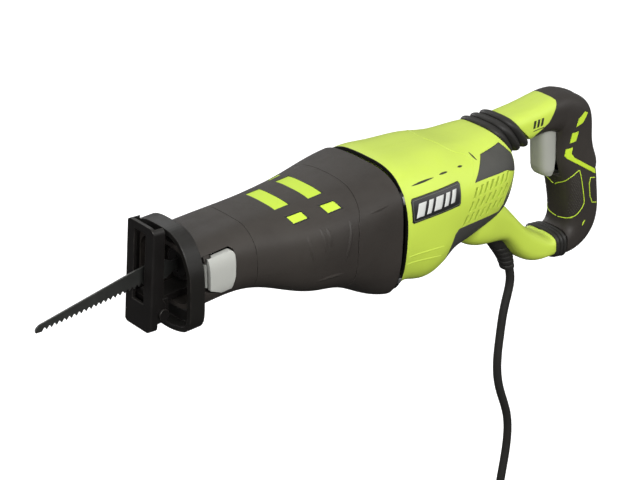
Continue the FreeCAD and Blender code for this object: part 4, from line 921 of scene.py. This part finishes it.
# ---------------------------------------------------------------- front boot inlays
# Corners (x, y) of the green inlays on top; the side ones are mirrored in Y.
TOP_INLAYS = [
    [(114, -17.4), (127.5, -17.4), (127.5, 17.4), (114, 17.4)],
    [(145, -19.6), (158.5, -19.6), (158.5, 19.6), (145, 19.6)]]
SIDE_INLAYS = [
    [(117, 26.9), (131, 27.4), (132.6, 33.6), (119.4, 32.9)],
    [(147.8, 29), (160.6, 30.4), (162.3, 37.6), (150.2, 36.6)]]
JOINT_GAP = 0.55  # joint line outside the inlay edge
PROBE_OFFSET = 1.4  # surface height is read this far outside the joint line


def inlay_recess_shade(name, corners):
    """Black strip round one inlay: painted shade of the recess at its joint."""
    middle_x = sum(x for x, y in corners) / 4.0
    middle_y = sum(y for x, y in corners) / 4.0
    half_x = abs(corners[0][0] - corners[1][0]) / 2.0
    half_y = (max(y for x, y in corners) - min(y for x, y in corners)) / 2.0
    outline = [(x + math.copysign(JOINT_GAP, x - middle_x),
                y + math.copysign(JOINT_GAP, y - middle_y)) for x, y in corners]
    samples = []
    for x, y in resample(outline, 1.0, closed=True):
        from_x, from_y = x - middle_x, y - middle_y
        step_x = step_y = 0.0
        if abs(from_x) / half_x > abs(from_y) / half_y:
            step_x = math.copysign(PROBE_OFFSET, from_x)
        else:
            step_y = math.copysign(PROBE_OFFSET, from_y)
        sample = on_top(BOOT_FRONT, x + step_x, y + step_y)
        if sample is None or sample[1].z < 0.2:
            continue
        hit, normal = sample
        # carried back to the joint line along the slope of the surface
        rise = (normal.x * step_x + normal.y * step_y) / normal.z * MM
        samples.append((Vector((x * MM, y * MM, hit.z + rise)), normal))
    if len(samples) > 8:
        # black strip sunk just under the surface: painted shade in the recess
        ribbon(name, samples, width=0.85, height=-0.02, sink=1.1, look=BODY_PLATE, closed=True)


ALL_INLAYS = TOP_INLAYS + [[(x, y * side) for x, y in corners]
                           for side, _ in SIDES for corners in SIDE_INLAYS]
for k, corners in enumerate(ALL_INLAYS):
    inlay_recess_shade("inlay_joint_%d" % k, corners)

# ---------------------------------------------------------------- soft folds on the boots
FRONT_FOLDS = [
    [(124.6, 9.0), (125.6, 0.0), (128.0, -12.0)], [(137.0, 12.0), (138.4, 3.0), (138.8, -9.0)],
    [(142.6, 11.0), (143.6, 3.0), (143.8, -5.0)], [(163.6, 13.0), (161.8, 0.0), (156.0, -22.0)]]
LOW_FOLD = [(132.0, -33.0), (146.0, -31.5), (158.0, -31.8)]
REAR_CREASE = [(180.0, 11.0), (190.0, 12.4), (202.0, 13.4)]
FOLD_EDGE = -0.16  # the edges of a fold lie just under the surface
FOLD_BASE = -0.5


def fold(name, surface, side, points, width, height):
    """Soft hump along a line that fades out at both ends."""
    samples = side_samples(surface, points, side, closed=False, smooth=2)
    if len(samples) < 4:
        return

    def section_at(t):
        swell = max(0.02, math.sin(math.pi * t)) ** 0.8
        local = 0.45 + 0.55 * swell
        section = []
        for q in range(13):
            hump = (0.5 - 0.5 * math.cos(2 * math.pi * q / 12.0)) ** 1.2
            section.append(((-0.5 + q / 12.0) * width * local,
                            FOLD_EDGE + (height - FOLD_EDGE) * hump * swell))
        half = 0.5 * width * local
        return section + [(half, FOLD_BASE), (-half, FOLD_BASE)]

    sweep(name, [point for point, _ in samples], [normal.normalized() for _, normal in samples],
          section_at, BODY_BOOT, angle=60)


for side, tag in SIDES:
    for k, line in enumerate(FRONT_FOLDS):
        fold("boot_fold_%d_%s" % (k, tag), BOOT_FRONT, side, line, width=5.4, height=0.75)
    fold("boot_fold_low_" + tag, BOOT_FRONT, side, LOW_FOLD, width=5.8, height=0.70)
    fold("boot_crease_" + tag, BOOT_REAR, side, REAR_CREASE, width=4.6, height=0.60)

# ---------------------------------------------------------------- pips on the grip
PIP_FIELD = [(447.5, -53.5), (453.8, -51.0), (461.6, -80.4), (461.2, -83.8),
             (455.4, -90.8), (451.5, -92.5)]
PIP_PITCH = 1.9
PIP_RADIUS = 0.62
PIP_HEIGHT = 0.28
PIP_LEVELS = [(1.0, -0.2), (0.92, PIP_HEIGHT * 0.6), (0.55, PIP_HEIGHT)]  # radius share, height


def is_inside(outline, x, z):
    inside = False
    for i, (x1, z1) in enumerate(outline):
        x2, z2 = outline[(i + 1) % len(outline)]
        if (z1 > z) != (z2 > z) and x < (x2 - x1) * (z - z1) / (z2 - z1) + x1:
            inside = not inside
    return inside


def pip_places():
    """Staggered rows of (x, z) inside the pip field."""
    xs, zs = zip(*PIP_FIELD)
    row = 0
    z = min(zs)
    while z < max(zs):
        x = min(xs) + (PIP_PITCH / 2 if row % 2 else 0)
        while x < max(xs):
            if is_inside(PIP_FIELD, x, z):
                yield x, z
            x += PIP_PITCH
        z += PIP_PITCH * 0.87
        row += 1


def grip_pips(side, tag):
    verts, faces = [], []
    for x, z in pip_places():
        sample = on_side(GRIP, x, z, side)
        if not sample or abs(sample[1].y) <= 0.35:
            continue
        point, normal = sample
        a = normal.cross(Vector((0, 0, 1))).normalized()
        b = normal.cross(a).normalized()
        first = len(verts)
        for share, height in PIP_LEVELS:
            for q in range(6):
                angle = math.pi * q / 3.0
                spoke = a * math.cos(angle) + b * math.sin(angle)
                verts.append(point + spoke * (PIP_RADIUS * share * MM) + normal * (height * MM))
        for low in (first, first + 6):
            for q in range(6):
                r = (q + 1) % 6
                faces.append((low + q, low + r, low + 6 + r, low + 6 + q))
        faces.append(tuple(first + 12 + q for q in range(6)))
        faces.append(tuple(first + q for q in reversed(range(6))))
    if verts:
        mesh_object("grip_pips_" + tag, verts, faces, GRIP_PIP, angle=60)


for side, tag in SIDES:
    grip_pips(side, tag)

# ---------------------------------------------------------------- floor, world, lights, camera
FLOOR_HALF = 6.0
FLOOR_GAP = 0.004  # below the lowest CAD point
LIGHT_TARGET = Vector((0.215, 0.0, -0.05))
# name, place, size, power in watts
LIGHTS = [
    ("key", (-0.35, -1.68, 1.05), (1.0, 1.0), 34.0),
    ("front", (-1.5, -0.7, 0.65), (0.7, 0.7), 9.0),
    ("fill", (1.5, -1.2, 0.5), (1.0, 1.0), 6.0),
    ("rim", (0.6, 1.6, 1.3), (1.4, 0.9), 6.0),
    ("back", (0.15, 1.9, 0.30), (1.2, 0.6), 13.0),
    ("top", (0.1, -0.2, 1.8), (1.5, 0.8), 3.5),
]
CAMERA_PLACE = Vector((-0.71335, -1.02071, 0.67623))
CAMERA_TURN = math.radians(-41.0)
CAMERA_RISE = math.radians(27.5)


def add_floor():
    """Pale floor that glows a little and stays out of bounce light and reflections."""
    half, z = FLOOR_HALF, CAD_LO[2] - FLOOR_GAP
    mesh = bpy.data.meshes.new("floor")
    mesh.from_pydata([(-half, -half, z), (half, -half, z), (half, half, z), (-half, half, z)],
                     [], [(0, 1, 2, 3)])
    floor = bpy.data.objects.new("floor", mesh)
    SCENE.collection.objects.link(floor)
    paint = make_material(
        "floor_paint", color=(247, 247, 247), rough=0.75, mottle=0.01, grain=0.1,
        grain_scale=600.0, wear=0.0, specular=0.2, dust=0.0, fleck=0.01, waviness=0.0)
    mesh.materials.append(paint)
    surface = next(n for n in paint.node_tree.nodes if n.type == "BSDF_PRINCIPLED")
    surface.inputs["Emission Color"].default_value = (1.0, 1.0, 1.0, 1.0)
    surface.inputs["Emission Strength"].default_value = 0.42
    floor.visible_diffuse = False
    floor.visible_glossy = False


def add_world():
    """White surroundings, dim below and brighter above."""
    world = bpy.data.worlds.new("studio")
    SCENE.world = world
    world.use_nodes = True
    graph = Graph(world.node_tree)
    height = graph.axis(graph.node("TexCoord").outputs["Generated"], "Z")
    background = world.node_tree.nodes["Background"]
    graph.feed(background.inputs[0], (1.0, 1.0, 1.0, 1.0))
    graph.feed(background.inputs[1], graph.remap(height, span=(-0.5, 0.5), to=(0.04, 0.42)))


def add_light(name, place, size, power):
    light = bpy.data.lights.new(name, "AREA")
    light.shape = "RECTANGLE"
    light.size, light.size_y = size
    light.energy = power
    obj = bpy.data.objects.new(name, light)
    SCENE.collection.objects.link(obj)
    obj.location = place
    obj.rotation_euler = (LIGHT_TARGET - Vector(place)).to_track_quat("-Z", "Y").to_euler()


def add_camera():
    lens = bpy.data.cameras.new("camera")
    camera = bpy.data.objects.new("camera", lens)
    SCENE.collection.objects.link(camera)
    SCENE.camera = camera
    lens.lens = 109.69
    lens.sensor_width = 36.0
    lens.clip_start = 0.05
    lens.clip_end = 50.0
    right = Vector((math.cos(CAMERA_TURN), math.sin(CAMERA_TURN), 0))
    back = Vector((math.sin(CAMERA_TURN) * math.cos(CAMERA_RISE),
                   -math.cos(CAMERA_TURN) * math.cos(CAMERA_RISE), math.sin(CAMERA_RISE)))
    axes = Matrix((right, back.cross(right), back)).transposed()
    camera.matrix_world = Matrix.Translation(CAMERA_PLACE) @ axes.to_4x4()


add_floor()
add_world()
for light_row in LIGHTS:
    add_light(*light_row)
add_camera()

SCENE.view_settings.view_transform = "Standard"
SCENE.view_settings.look = "None"
SCENE.view_settings.exposure = 0.0
SCENE.view_settings.gamma = 1.0
